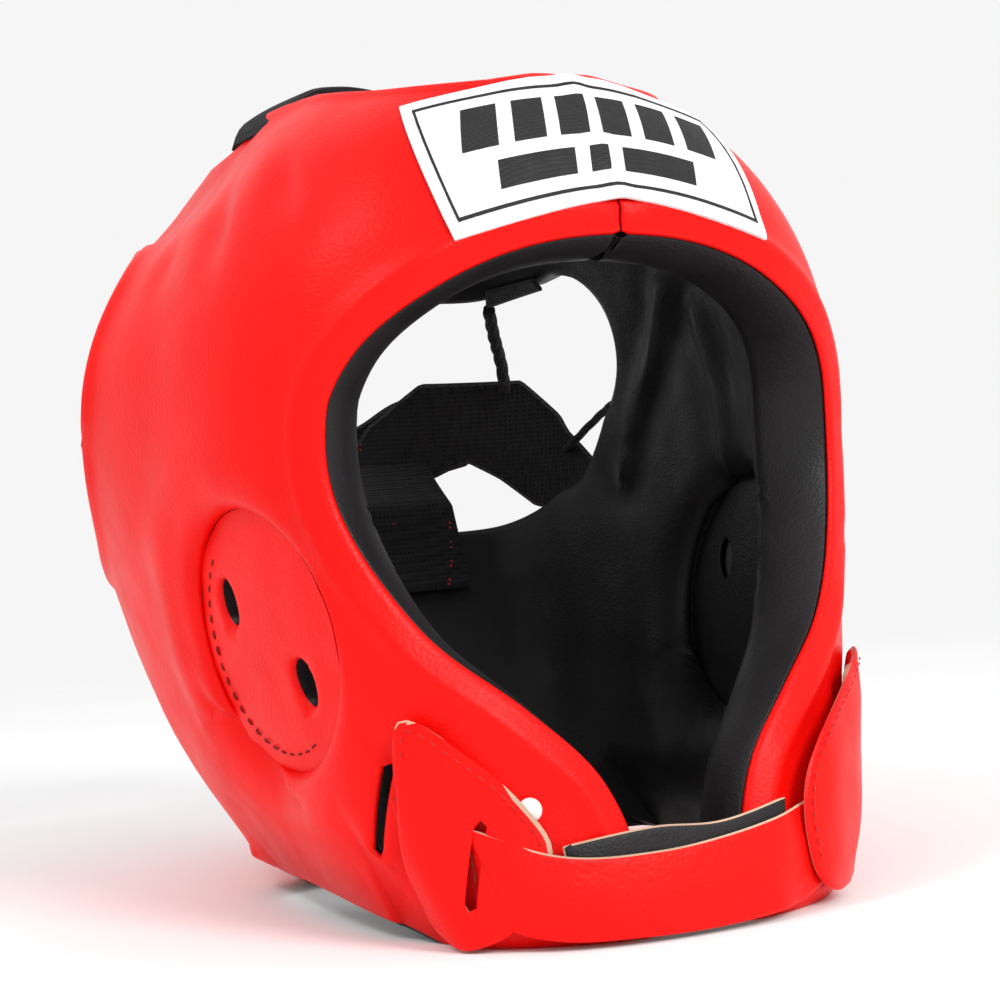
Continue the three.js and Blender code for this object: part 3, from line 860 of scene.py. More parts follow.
def dents_at(points):
    total = np.zeros(len(points))
    lean = math.radians(DENT_LEAN)
    for azimuth, polar, long, wide, deep in DENTS:
        side, up, _ = tangent_frame(azimuth, polar)
        gap = points - head_point(azimuth, polar)
        run = gap @ (side * math.sin(lean) + up * math.cos(lean))
        over = gap @ (side * math.cos(lean) - up * math.sin(lean))
        total += deep * np.exp(-(run / long) ** 2 - (over / wide) ** 2)
    return total


def cover_depth(region, seed):
    """Depth of the cover's face: rolled edges, the ear dish, stuffing, ridges and puckers."""
    d = region.distance
    falls = [edge_round(d[kind], *ROUND[kind]) for kind in ROUND]
    ear_places = region.samples[region.near[EAR], :2]
    sunk = plane_depth(ear_places, lay(EAR_PLACE, EAR_PAD_SUNK), ear_frame()[2]) - EAR_PAD_LAP
    sunk += swell_of(ear_places)
    deep = deep_share(region.surface)
    roll = EAR_ROLL[0] + (EAR_ROLL[1] - EAR_ROLL[0]) * deep
    falls.append(edge_round(d[EAR], roll, 1.0) * np.maximum(sunk, 0))
    total = np.sum([fall ** 3 for fall in falls], axis=0) ** (1 / 3) - swell_of(region.places)
    walls = np.min([d[kind] for kind in WALL_KINDS], axis=0)
    edges = np.minimum(walls, d[EAR])
    loose = RELAX_SHARE * smoothstep(np.minimum(edges, d[SLOT] + 2), 3, 9)
    total = relaxed(total, region.faces, loose)
    total -= ridge(walls, *CREST) + deep * ridge(d[EAR], *EAR_CREST)
    broad, fine = (
        height * ripple(region.surface, size, seed + shift)
        for (height, size), shift in ((BROAD_RIPPLE, 0), (FINE_RIPPLE, 3))
    )
    total += broad * (1 - np.exp(-(edges / 7) ** 2))
    total += fine * np.exp(-edges / 8) * np.minimum(1, edges / 2)
    return total + dents_at(region.surface) * np.clip(edges / 6, 0.3, 1)


def folds_at(points):
    total = np.zeros(len(points))
    for line, height in FOLDS:
        route = catmull(line, 60)
        away = nearest(points, head_point(route[:, 0], route[:, 1]))[0]
        total += ridge(away, 0, 5, height) - ridge(away, 11, 6, FOLD_VALLEY * height)
    return total


def lining_points(region, top, seed):
    """Visible face of the lining: the wall round the pad's edge and the inner face."""
    stacked = np.array([region.distance[kind] for kind in WALL_KINDS])
    pick, s = stacked.argmin(axis=0), stacked.min(axis=0)
    sample = np.array([region.near[kind] for kind in WALL_KINDS])[pick, np.arange(len(s))]
    anchor = region.samples[sample, :2]
    direction = region.inward[sample].copy()
    off = s > 0.3
    direction[off] = (region.places[off] - anchor[off]) / s[off, None]
    first = top[nearest(region.sample_points, region.surface)[1]][sample] + 0.5
    wall = np.clip(s / WALL_REACH, 0, 1)
    turn = np.clip((s - WALL_REACH) / WALL_CORNER, 0, 1) * math.pi / 2
    depth = first + (PAD_DEPTH - WALL_CORNER - first) * wall + WALL_CORNER * np.sin(turn)
    start, end = INNER_START
    inset = 0.1 - WALL_BULGE * np.sin(math.pi * wall) ** 0.8 + WALL_CORNER * (1 - np.cos(turn))
    inset += np.clip(s - start, 0, end - start) * (end - WALL_CORNER) / (end - start)
    inset = np.where(s > end, s, inset)
    skew = wall_lean(region)[sample] * (depth / PAD_DEPTH) * (1 - smoothstep(s, start, SKEW_END))
    shifted = anchor + direction * (inset + skew)[:, None]
    places = np.where((s < SKEW_END)[:, None], shifted, region.places)
    ear_places = region.samples[region.near[EAR], :2]
    ear_plane = lay(EAR_PLACE, EAR_LINING_SUNK + EAR_LINING_LAP)
    sunk = plane_depth(ear_places, ear_plane, tangent_frame(*EAR_PLACE)[2])
    rise = edge_round(region.distance[EAR], LINING_EAR, 1.0) * (PAD_DEPTH - sunk)
    rise += edge_round(region.distance[SEAM], *LINING_SEAM)
    height, size = LINING_RIPPLE
    waves = height * ripple(region.surface * [1, 1, 0.45], size, seed + 7) + folds_at(region.surface)
    return lay(places, depth + (waves - rise) * smoothstep(s, 10, 18))


def wall_lean(region):
    """How far the walls lean: the lower one so that the pad's underside is level."""
    azimuth, polar, kind = region.samples.T
    down = head_steps(azimuth, polar)[1]
    level = -0.9 * PAD_DEPTH * outward_at(region.samples)[:, 2] / unit(down)[:, 2]
    lean = np.where(kind == BASE, level, 0)
    lean += np.where((kind == WINDOW) & (azimuth < SIDE_WINDOW), WINDOW_LEAN, 0)
    return blurred(lean, WALL_SWAY)


def flip(points, side):
    """Points of the left half as they are (side 1), or mirrored for the right half (-1)."""
    return points * [side, 1, 1]


def oriented(faces, side):
    return faces if side > 0 else faces[:, ::-1]


def shell_half(region, side, seed):
    """Cover, lining and foam core of one half; returns its face's depth, with the seam filled."""
    name = "left" if side > 0 else "right"
    faces = oriented(region.faces, side)
    depth = cover_depth(region, seed)
    top = lay(region.places, depth)
    top[:, 2] = np.maximum(top[:, 2], 0)
    outer = flip(top, side)
    inner = lining_points(region, depth, seed)
    inner[:, 2] = np.maximum(inner[:, 2], 0.05)
    inner = flip(inner, side)
    sink = normals_of(outer, faces)
    walls = np.min([region.distance[kind] for kind in WALL_KINDS], axis=0)
    others = np.min([region.distance[kind] for kind in (EAR, SEAM, SLOT)], axis=0)
    deep = (walls > FOAM_INSET[0]) & (others > FOAM_INSET[1])
    core, used = renumbered(faces[deep[faces].all(axis=1)])
    upper = (outer - sink * (COVER_THICK + FOAM_GAP[0]))[used]
    floor = lay(region.places[used], PAD_DEPTH - FOAM_GAP[1] - 9 * np.exp(-others[used] / 5))
    hidden = inner + normals_of(inner, faces) * LINING_THICK
    for part, front, back, skin_faces, paint, node, slot, fill in (
        ("cover_leather", outer, outer - sink * COVER_THICK, faces, red_leather, "cover",
         "red_leather", 0.8),
        ("lining_fabric", hidden, inner, faces, black_lining, "lining", "black_lining", 0.6),
        ("foam_core", upper, flip(floor, side), core, foam_rubber, "foam_pad", "foam", 0.9),
    ):
        points, skins, _ = closed_layer(front, back, skin_faces)
        piece = add_mesh(f"{name}_{part}", points, skins, paint)
        declared(piece, slot, f"{name}_{node}")
    return depth - edge_round(region.distance[SEAM], *ROUND[SEAM])


ear_loop = kinded(ring(*EAR_PLACE, EAR_RADIUS), EAR)
shell_region = Region(
    [shell_outline(), ear_loop, kinded(slot_loop(*CHEEK_SLOT), SLOT)], EDGE_ROWS, 4.6
)
HALF_SEEDS = {1: 2, -1: 5}
SKIN = {side: shell_half(shell_region, side, seed) for side, seed in HALF_SEEDS.items()}

# ---- Thin goods: shared tools ---------------------------------------------------------------

PANEL_ROWS = (0, 0.5, 1.3, 2.6, 4.4)
PANEL_SPACING = 4.5
PANEL_EDGE_STEP = 2.5
PANEL_RIPPLE = 17
SKIN_POINTS = 16               # points of the cover that a reading of its depth averages
SKIN_REACH = 4.5


def skin(places):
    """Depth of the cover's face under places, smoothed over the seam."""
    places = np.asarray(places, float)
    azimuth = (places[:, 0] + 180) % 360 - 180
    points = head_point(np.abs(azimuth), places[:, 1])
    depth = np.zeros(len(places))
    for start in range(0, len(points), NEAREST_BLOCK):
        block = slice(start, start + NEAREST_BLOCK)
        gap = np.linalg.norm(points[block, None] - shell_region.surface[None], axis=2)
        close = np.argpartition(gap, SKIN_POINTS, axis=1)[:, :SKIN_POINTS]
        weight = np.exp(-(np.take_along_axis(gap, close, axis=1) / SKIN_REACH) ** 2) + 1e-6
        chosen = np.where((azimuth[block] > 0)[:, None], SKIN[1][close], SKIN[-1][close])
        depth[block] = (chosen * weight).sum(axis=1) / weight.sum(axis=1)
    return depth


def closed_line(points, corner=0.0):
    """Closed outline of places as a fine loop, its corners rounded over a length."""
    loop = surface_spaced(np.asarray(points, float))
    return kinded(blurred(loop, corner) if corner else loop, 0)


def between(top, base, corner=1.5):
    """Outline of a strap between a top line and a base line of places."""
    upper, lower = catmull(top, 160), catmull(base, 160)
    left = np.linspace(lower[0], upper[0], 30)[1:-1]
    right = np.linspace(upper[-1], lower[-1], 30)[1:-1]
    return closed_line(np.vstack([upper, right, lower[::-1], left]), corner)


def at_depth(depth):
    """Depth function of a flat-lying panel."""
    return lambda places: np.full(len(places), float(depth))


def panel(name, loops, depth_at, thickness, paints, body, slot, node, soft=0.1, seed=1,
          wrinkle=0.25, lip_at=None):
    """Closed sheet on a region, its outer face at a depth, with rounded edges.

    The second paint covers the cut rim and, on the outer face, a lip of the width lip_at gives.
    """
    region = Region(loops, PANEL_ROWS, PANEL_SPACING, PANEL_EDGE_STEP)
    edge = np.min(list(region.distance.values()), axis=0)
    depth = depth_at(region.places) + edge_round(edge, 1.6, 0.45 * thickness)
    depth -= soft * (1 - np.exp(-(edge / 6) ** 2))
    depth += wrinkle * ripple(region.surface, PANEL_RIPPLE, seed) * np.clip(edge / 4, 0, 1)
    outer = lay(region.places, depth)
    under = outer - normals_of(outer, region.faces) * thickness
    points, faces, skins = closed_layer(outer, under, region.faces)
    lip = lip_at(region.places) if lip_at else 0
    paint_index = (edge < lip)[region.faces].all(axis=1).astype(int).tolist()
    paint_index += [0] * (skins - len(paint_index)) + [1] * (len(faces) - skins)
    piece = add_mesh(name, points, faces, paints, paint_index, body, sharp=62)
    return declared(piece, slot, node)


def grip_patch(name, top, base, depth, body):
    """Hook or loop patch between two lines of places."""
    panel(f"{name}_fabric", [between(top, base)], at_depth(depth), 0.9, [hook_fabric] * 2, body,
          "hook_fabric", f"{name}_patch", wrinkle=0.1)


def inset_line(loop, distance, keep):
    """The part of a line inside an outline, at a distance from it, that keep() chooses."""
    places = loop[:, :2] + Region.inward_steps(loop, hole=False) * distance
    chosen = keep(places)
    if chosen.all():
        return np.vstack([places, places[:1]])
    start = int(np.flatnonzero(chosen & ~np.roll(chosen, 1))[0])
    rolled, held = np.roll(places, -start, axis=0), np.roll(chosen, -start)
    stop = int(np.argmin(held)) if not held.all() else len(held)
    return rolled[:stop]


STITCH_PROFILE = ((0.0, 0.35), (0.18, 0.9), (0.5, 1.0), (0.82, 0.9), (1.0, 0.35))


def stitches(name, points, normals, paint, body, length=3.0, gap=1.8, radius=0.38):
    """Row of thread stitches along solid points that lie on a face with these normals."""
    run = run_along(points)
    turn = np.radians(np.arange(0, 360, 60))
    parts = []
    for start in np.linspace(0, run[-1] - length, max(1, int(run[-1] / (length + gap)))):
        a, b = sampled(points, run, start), sampled(points, run, start + length)
        normal = unit(sampled(normals, run, start + length / 2))
        section = circle_round(turn, np.cross(unit(b - a), normal), normal)
        rings = []
        for share, thick in STITCH_PROFILE:
            lift = radius * (0.25 + 0.9 * math.sin(math.pi * share))
            rings.append(a + (b - a) * share + normal * lift + radius * thick * section)
        parts.append(tube_of(rings))
    all_points, faces = merged(parts)
    add_mesh(name, all_points, faces, paint, body=body)


def stitched(name, line, depth_at, paint, body, **sizes):
    """Stitches along a line of places at a depth."""
    places = spaced(line, max(8, len(line) // 3))
    stitches(name, lay(places, depth_at(places)), outward_at(places), paint, body, **sizes)


# ---- Ears -----------------------------------------------------------------------------------

EAR_PAD_THICK = 5.4
EAR_PAD_GAP = 0.7              # the pad is this much smaller than the opening for it
EAR_CROWN = 2.2                # how far the pad's middle stands above its rim
EAR_HOLE_ROUND = (2.4, 1.7)
EAR_STITCH_SHARE = 0.86        # radius of the stitches as a share of the pad's
EAR_STITCH_ARC = (-105, 62)    # stitched part of the rim, from rear towards up
EAR_STITCH_GROOVE = (0.7, 0.035)
EAR_LINING_THICK = 1.2
EAR_LINING_GAP = 1.4
EAR_ROWS = (0, 0.4, 1.1, 2.2, 3.8)


def ear_hole_loops():
    tilt = math.radians(EAR_HOLES_TILT)
    turn = np.radians(np.arange(0, 360, 6))
    oval = np.column_stack([EAR_HOLE[0] * np.cos(turn), EAR_HOLE[1] * np.sin(turn)])
    for sign in (1, -1):
        shift = sign * EAR_HOLES_APART / 2 * np.array([math.cos(tilt), math.sin(tilt)])
        yield kinded(surface_spaced(places_from(*EAR_PLACE, oval + shift)), SLOT)


def ear_disc(name, side, axes, radius, sunk, thickness, rise_at, front_paint, slot, node):
    """Round pad or backing with two holes, in the plane of the axes at a depth."""
    flat_side, flat_up, _ = tangent_frame(*EAR_PLACE)
    side_way, up, normal = axes
    loops = [kinded(ring(*EAR_PLACE, radius), EAR), *ear_hole_loops()]
    region = Region(loops, EAR_ROWS, 3.6, 2.0)
    gap = region.surface - head_point(*EAR_PLACE)
    x, y = gap @ flat_side, gap @ flat_up
    base = lay(EAR_PLACE, sunk) + x[:, None] * side_way + y[:, None] * up
    rise = rise_at(region, np.hypot(x, y) / radius)
    outer = flip(base + rise[:, None] * normal, side)
    under = flip(base - thickness * normal, side)
    points, faces, skins = closed_layer(outer, under, oriented(region.faces, side))
    near_hole = np.tile(region.distance[SLOT] < 0.1, 2)
    paint_index = [0] * (skins // 2) + [1] * (skins // 2)
    paint_index += [int(near_hole[list(face)].all()) for face in faces[skins:]]
    disc = add_mesh(name, points, faces, [front_paint, black_lining], paint_index, sharp=70)
    return declared(disc, slot, node)


def ear_pad_rise(region, share):
    depth, spread = EAR_STITCH_GROOVE
    groove = ridge(share, EAR_STITCH_SHARE, spread, depth) * deep_share(region.surface)
    rise = EAR_CROWN * (1 - share ** 2) - edge_round(region.distance[SLOT], *EAR_HOLE_ROUND)
    return rise - groove + 0.35 * ripple(region.surface, 13, 4)


def ear_lining_rise(region, share):
    return 0.5 * (1 - share ** 2) + 0.2 * ripple(region.surface, 15, 6)


def ear_dish(side, name):
    """Padded disc in the ear opening, its row of stitches and the lining behind it."""
    side_way, up, normal = ear_frame()
    radius = EAR_RADIUS - EAR_PAD_GAP
    pad = ear_disc(f"{name}_ear_cushion", side, ear_frame(), radius, EAR_PAD_SUNK, EAR_PAD_THICK,
                   ear_pad_rise, red_leather, "red_leather", f"{name}_ear_pad")
    ear_disc(f"{name}_ear_backing", side, tangent_frame(*EAR_PLACE), EAR_RADIUS - EAR_LINING_GAP,
             EAR_LINING_SUNK, EAR_LINING_THICK, ear_lining_rise, black_lining, "black_lining",
             f"{name}_ear_lining")
    turn = np.radians(np.arange(*EAR_STITCH_ARC, 3))
    height = EAR_CROWN * (1 - EAR_STITCH_SHARE ** 2) - 0.4
    middle = lay(EAR_PLACE, EAR_PAD_SUNK) + height * normal
    circle = middle + radius * EAR_STITCH_SHARE * circle_round(turn, side_way, up)
    normals = np.tile(normal * [side, 1, 1], (len(turn), 1))
    stitches(f"{name}_ear_stitching", flip(circle, side), normals, dark_thread, "shell",
             3.0, 1.6, 0.42)


ear_dish(1, "left")
ear_dish(-1, "right")

# ---- Forehead label -------------------------------------------------------------------------

LABEL_TOP = (44.0, 36.0, 5.6)            # half width, polar angle at the middle, drop at the ends
LABEL_BASE = (32.0, 61.8, 6.4)
LABEL_THICK = 0.9
LABEL_LIFT = 0.5
INK_LIFT = 0.22
INK_THICK = 0.34
BAR_COUNT = 6
BAR_REACH = 0.70               # u of the outermost upper bars' middles
BAR_HALF = 0.095
BAR_SLANT = 0.22
LOWER_BARS = ((-0.62, -0.16), (-0.06, 0.06), (0.16, 0.62))
UPPER_ROW, LOWER_ROW = (0.20, 0.52), (0.62, 0.80)        # v of the two rows of bars
FRAME_INSET = (0.052, 0.085)             # share of the half width and of the height
FRAME_LINE = (0.012, 0.022)


def label_places(u, v):
    """Places on the label: u from -1 to 1 across it, v from 0 at its top to 1 at its base."""
    u, v = np.broadcast_arrays(np.asarray(u, float), np.asarray(v, float))
    top = np.stack([LABEL_TOP[0] * u, LABEL_TOP[1] + LABEL_TOP[2] * u ** 2], axis=-1)
    base = np.stack([LABEL_BASE[0] * u, LABEL_BASE[1] + LABEL_BASE[2] * np.abs(u) ** 1.4], axis=-1)
    return top + (base - top) * v[..., None]


def grid_layer(grid_u, grid_v, lift, thickness):
    """Closed layer over a grid of (u, v) on the label, standing lift above the skin."""
    places = label_places(grid_u, grid_v).reshape(-1, 2)
    depth = skin(places)
    outer = lay(places, depth - lift)
    under = lay(places, depth - lift + thickness)
    points, skins, _ = closed_layer(outer, under, grid_faces(*grid_u.shape))
    return points, skins


def printed(left, right, top, base, slant=0.0):
    """Slanted block of ink on the label between u values and v values."""
    columns = max(2, int(abs(right - left) / 0.05) + 1)
    u, v = np.meshgrid(np.linspace(left, right, columns + 1), np.linspace(top, base, 7))
    return grid_layer(u + slant * (0.5 - v), v, LABEL_LIFT + LABEL_THICK + INK_LIFT, INK_THICK)


def make_label():
    u, v = np.meshgrid(np.linspace(-1, 1, 57), np.linspace(0, 1, 31))
    points, faces = grid_layer(u, v, LABEL_LIFT + LABEL_THICK, LABEL_THICK)
    label = add_mesh("forehead_label_cloth", points, faces, label_cloth, sharp=50)
    declared(label, "label_cloth", "forehead_label")
    inset_u, inset_v = 1 - FRAME_INSET[0], FRAME_INSET[1]
    wide, tall = FRAME_LINE
    parts = [
        printed(-inset_u, inset_u, inset_v, inset_v + tall),
        printed(-inset_u, inset_u, 1 - inset_v - tall, 1 - inset_v),
        printed(-inset_u, -inset_u + wide, inset_v, 1 - inset_v),
        printed(inset_u - wide, inset_u, inset_v, 1 - inset_v),
    ]
    for middle in np.linspace(-BAR_REACH, BAR_REACH, BAR_COUNT):
        parts.append(printed(middle - BAR_HALF, middle + BAR_HALF, *UPPER_ROW, BAR_SLANT))
    for start, stop in LOWER_BARS:
        parts.append(printed(start, stop, *LOWER_ROW, BAR_SLANT))
    points, faces = merged(parts)
    add_mesh("label_print", points, faces, label_ink, sharp=50)


make_label()

# ---- Chin closure ---------------------------------------------------------------------------

LEATHER_THICK = 1.6
RIGHT_FLAP_RIM = [
    (-49, 112.6), (-39.3, 115.8), (-33.2, 119.6), (-30.7, 122.8), (-37, 127.5), (-46, 130.4),
    (-58, 130.4), (-59.5, 126.5), (-53.5, 118.5),
]
LEFT_FLAP_RIM = [
    (54, 111), (40, 113.3), (29, 117), (24.4, 120.7), (24.2, 124), (27.4, 128.3), (38, 130.4),
    (50, 129), (58, 125.5), (60, 117.5),
]
CHIN_TOP = [(-43.8, 120.9), (-30, 123.6), (-12, 124.1), (8, 123.4), (24, 122.2), (31, 121.4)]
CHIN_BASE = [(-48.4, 128.4), (-36, 130.6), (-18, 131.2), (6, 131.2), (26, 130.4), (34, 129.2)]
BACKING_TOP = [(-29, 122.9), (-20, 122.4), (-10, 122.1), (4, 122.4), (21, 121.3)]
BACKING_BASE = [(-29, 129.6), (-12, 130), (4, 130), (21, 129.4)]
ANCHOR_TOP = [(-55.5, 118.5), (-47, 119.6)]
ANCHOR_BASE = [(-57.5, 126.5), (-52, 127.6)]
GRIP_TOP, GRIP_BASE = [(33, 118), (50, 117)], [(33, 127), (52, 126.4)]


def right_flap_depth(places):
    raised = -3.6 - LEATHER_THICK - 0.3
    share = smoothstep(places[:, 0], -59, -52)
    return (skin(places) - 3.9) * (1 - share) + np.minimum(raised, skin(places) - 3.6) * share


def chin_strap_depth(places):
    along = np.clip((places[:, 0] + 44) / 90, 0, 1)
    tucked = 7.0 * (1 - smoothstep(places[:, 0], -47.5, -41))
    dipped = 1.7 * smoothstep(places[:, 0], 17, 25)
    return -7.0 + 1.0 * along + tucked + dipped


def left_flap_depth(places):
    share = smoothstep(places[:, 0], 30, 42)
    far = smoothstep(places[:, 0], 48, 58)
    held = -5.8 * (1 - far) + np.minimum(-2.6, skin(places) - 1.9) * far
    return -7.4 * (1 - share) + held * share


def anchor_depth(places):
    return np.minimum(-2.4, skin(places) - 1.9)


def flap_lip(places):
    """Wide cut edge along the front and the top of the right flap."""
    azimuth, polar = places.T
    return 1.4 * ((azimuth > -52) & (polar < 121.5 + 0.6 * (azimuth + 37)))


def top_lip(places):
    """Narrow cut edge along the top of the chin strap."""
    return 0.6 * (places[:, 1] < 126)


def cheek_flap(side, rim, holes, depth_at, body, seed, stitched_at, lip_at=None):
    """Leather flap on a cheek, with a row of stitches inside a part of its edge."""
    loop = closed_line(catmull(rim, 900, closed=True))
    panel(f"{side}_cheek_panel", [loop, *holes], depth_at, LEATHER_THICK,
          [red_leather, raw_edge], body, "red_leather", f"{side}_cheek_flap", soft=0.9,
          seed=seed, wrinkle=0.5, lip_at=lip_at)
    stitched(f"{side}_cheek_stitching", inset_line(loop, 2.6, stitched_at),
             lambda p: depth_at(p) - 0.35, red_thread, body, length=2.2, gap=1.4, radius=0.24)


cheek_flap("right", RIGHT_FLAP_RIM, [kinded(slot_loop(*FLAP_SLOT), SLOT)], right_flap_depth,
           "shell", 11, lambda p: (p[:, 0] > -50) & (p[:, 1] < 124), flap_lip)
panel("chin_anchor_strap", [between(ANCHOR_TOP, ANCHOR_BASE)], anchor_depth, 1.3,
      [strap_leather, raw_edge], "shell", "red_leather", "chin_strap_anchor")
panel("chin_strap_leather", [between(CHIN_TOP, CHIN_BASE)], chin_strap_depth, LEATHER_THICK,
      [strap_leather, raw_edge], "chin_strap", "red_leather", "chin_strap", soft=0.9, seed=14,
      wrinkle=0.45, lip_at=top_lip)
panel("chin_backing_leather", [between(BACKING_TOP, BACKING_BASE)], at_depth(-4.3), 1.5,
      [black_lining, raw_edge], "chin_strap", "red_leather", "chin_strap_backing", soft=0.2,
      seed=15, lip_at=top_lip)
cheek_flap("left", LEFT_FLAP_RIM, [], left_flap_depth, "chin_strap", 18,
           lambda p: (p[:, 0] < 50) & (p[:, 1] < 127))
grip_patch("chin_hook", GRIP_TOP, GRIP_BASE, -3.9, "chin_strap")
grip_patch("chin_loop", GRIP_TOP, GRIP_BASE, -2.3, "shell")

RIVET = (-32.5, 119.9, -1.9)
RIVET_PROFILE = ((0.0, 1.4), (1.0, 1.35), (2.0, 1.15), (2.8, 0.8), (3.3, 0.3), (3.3, 0.0),
                 (2.7, -0.3), (0.0, -0.3))


def lathe(profile, sides=32):
    """Closed turned form; its profile is (radius, height) from the top's middle to the base's."""
    turn = np.radians(np.arange(0, 360, 360 / sides))
    points = [np.array([[0, 0, profile[0][1]]])]
    for radius, height in profile[1:-1]:
        points.append(np.column_stack([radius * np.cos(turn), radius * np.sin(turn),
                                       np.full(sides, height)]))
    points.append(np.array([[0, 0, profile[-1][1]]]))
    count = len(profile) - 2
    faces = [(0, 1 + k, 1 + (k + 1) % sides) for k in range(sides)]
    for r in range(count - 1):
        a, b = 1 + r * sides, 1 + (r + 1) * sides
        faces += [(a + k, b + k, b + (k + 1) % sides, a + (k + 1) % sides) for k in range(sides)]
    last, a = 1 + count * sides, 1 + (count - 1) * sides
    faces += [(last, a + (k + 1) % sides, a + k) for k in range(sides)]
    return np.vstack(points), faces


def make_rivet():
    place = np.array(RIVET[:2])
    points, faces = lathe(RIVET_PROFILE)
    base = lay(place, min(RIVET[2], skin(place[None])[0] - 0.6))
    points = base + points @ np.array(tangent_frame(*place))
    rivet = add_mesh("cheek_rivet_cap", points, faces, rivet_enamel, sharp=50)
    declared(rivet, "rivet_enamel", "cheek_rivet")


make_rivet()

# ---- Rear closure ---------------------------------------------------------------------------

WEB_THICK = 1.7
PANEL_RIM = [
    (124, 96.2), (133, 95.4), (139, 91.5), (146, 82.5), (160.5, 82), (168.5, 90), (172, 93),
    (172, 95.5), (159.5, 95.5), (154.5, 94), (150, 95.8), (145, 98.6), (138, 99.6), (130, 99),
]
TAB_TOP, TAB_BASE = [(160.5, 94), (175.5, 94)], [(157, 109.5), (173, 109.5)]
REAR_TOP = [(-121, 86), (-145, 89.5), (-165, 91), (-180, 91.2), (-190, 90.3), (-197, 85.5),
            (-206, 83.5)]
REAR_BASE = [(-124, 96), (-150, 98.5), (-180, 98.5), (-192, 96.5), (-206, 94)]
REAR_GRIP_TOP, REAR_GRIP_BASE = [(-194, 88.5), (-204, 84.8)], [(-194, 94), (-204, 94)]
TAB_STITCHES = (
    ((169.8, 91.6), (170.2, 95)), ((163.5, 95.8), (165, 99.2)), ((170.6, 101), (170.4, 103.5)),
    ((160.2, 102), (160.8, 106), (162.5, 109.2)),
)
TAB_POLAR = 94                 # the tab leaves the panel here
PANEL_FACE = 2.85              # depth of the panel's inner face
EDGE_TOP, EDGE_BASE = [(133, 57), (147, 56.5)], [(131, 60.5), (147, 61.5)]


def tab_depth(places):
    return 4.4 + 23.5 * np.clip((places[:, 1] - 94) / 15.5 * 2.6, 0, 1) - 0.8


def rear_strap_depth(places):
    return 2.2 - 8.4 * smoothstep(-places[:, 0], 163, 189)


def tab_face_depth(places):
    """Depth of the inner face of the panel and, past its edge, of the tab."""
    return np.where(places[:, 1] < TAB_POLAR, PANEL_FACE, tab_depth(places) + WEB_THICK)


panel_loop = closed_line(PANEL_RIM, 2.0)
panel("rear_panel_web", [panel_loop], at_depth(1.0), WEB_THICK, [black_webbing] * 2, "shell",
      "black_webbing", "rear_panel", soft=0.2, seed=21, wrinkle=0.8)
stitched("rear_panel_stitching", inset_line(panel_loop, 2.2, lambda p: p[:, 1] > 0),
         at_depth(PANEL_FACE), black_thread, "shell", length=2.6, gap=1.8, radius=0.3)
panel("rear_panel_tab_web", [between(TAB_TOP, TAB_BASE)], tab_depth, WEB_THICK,
      [black_webbing] * 2, "shell", "black_webbing", "rear_panel_tab")
for number, line in enumerate(TAB_STITCHES):
    stitched(f"rear_tab_stitching_{number + 1}", spaced(line, 40), tab_face_depth, red_thread,
             "shell", length=2.8, gap=3.4, radius=1.0)
panel("rear_strap_web", [between(REAR_TOP, REAR_BASE)], rear_strap_depth, WEB_THICK,
      [black_webbing] * 2, "rear_strap", "black_webbing", "rear_strap", soft=0.2, seed=23,
      wrinkle=0.5)
grip_patch("rear_hook", REAR_GRIP_TOP, REAR_GRIP_BASE, -3.5, "rear_strap")
grip_patch("rear_loop", REAR_GRIP_TOP, REAR_GRIP_BASE, -2.0, "shell")
panel("crown_edge_fabric", [between(EDGE_TOP, EDGE_BASE)], at_depth(24.8), 1.4,
      [hook_fabric] * 2, "shell", "hook_fabric", "crown_edge_strip", wrinkle=0.6)

# ---- Crown closure --------------------------------------------------------------------------

CROWN_SPAN = (-61.0, 84.0)
CROWN_WIDTH = (4.0, 52.0)
CROWN_HINGE_X = -65.5
CROWN_MIDDLE_Y = 28.0
PAD_EDGE_X = 60.0              # a little outside the edge of the crown opening
CROWN_GRIP = (60.0, 82.0)
CROWN_GRIP_WIDTH = (9.0, 47.0)
CROWN_BEND = ((3, 0, 1), (13, 0, 4))     # start and end of a bend, from the hinge; the strap is not bent
CROWN_SAG = (                  # how far the strap sinks between the pads, by X
    (-72, 4), (-61, 3), (-57, 0.6), (-52, -0.3), (-42, 3.2), (-20, 12.5), (4, 16), (28, 13),
    (40, 6.5), (52, 0), (84, 0),
)
CROWN_LIFT = (0.6, 3.7)        # height of its under face over the right and the left pad


def crown_layer(span, width, height_at, thickness, columns, rows):
    """Closed layer over a rectangle of the crown, with rounded long edges."""
    x, y = np.meshgrid(np.linspace(*span, columns), np.linspace(*width, rows))
    x, y = x.ravel(), y.ravel()
    places = crown_place(x, y)
    edge = np.minimum(y - width[0], width[1] - y)
    height = height_at(x, places) - edge_round(edge, 2.0, 0.5 * thickness)
    outer = lay(places, -height - thickness)
    faces = grid_faces(rows, columns)[:, ::-1]
    under = outer - normals_of(outer, faces) * thickness
    points, skins, _ = closed_layer(outer, under, faces)
    return points, skins


def crown_height(x, places):
    sag = catmull(CROWN_SAG, 200)
    right, left = CROWN_LIFT
    shoulder = np.abs(x) > PAD_EDGE_X
    held = crown_place(np.where(shoulder, x, np.sign(x) * PAD_EDGE_X), CROWN_MIDDLE_Y)
    pad = -skin(held)
    lift = right + (left - right) * smoothstep(x, 0, 50)
    return pad + lift - np.interp(x, sag[:, 0], sag[:, 1])


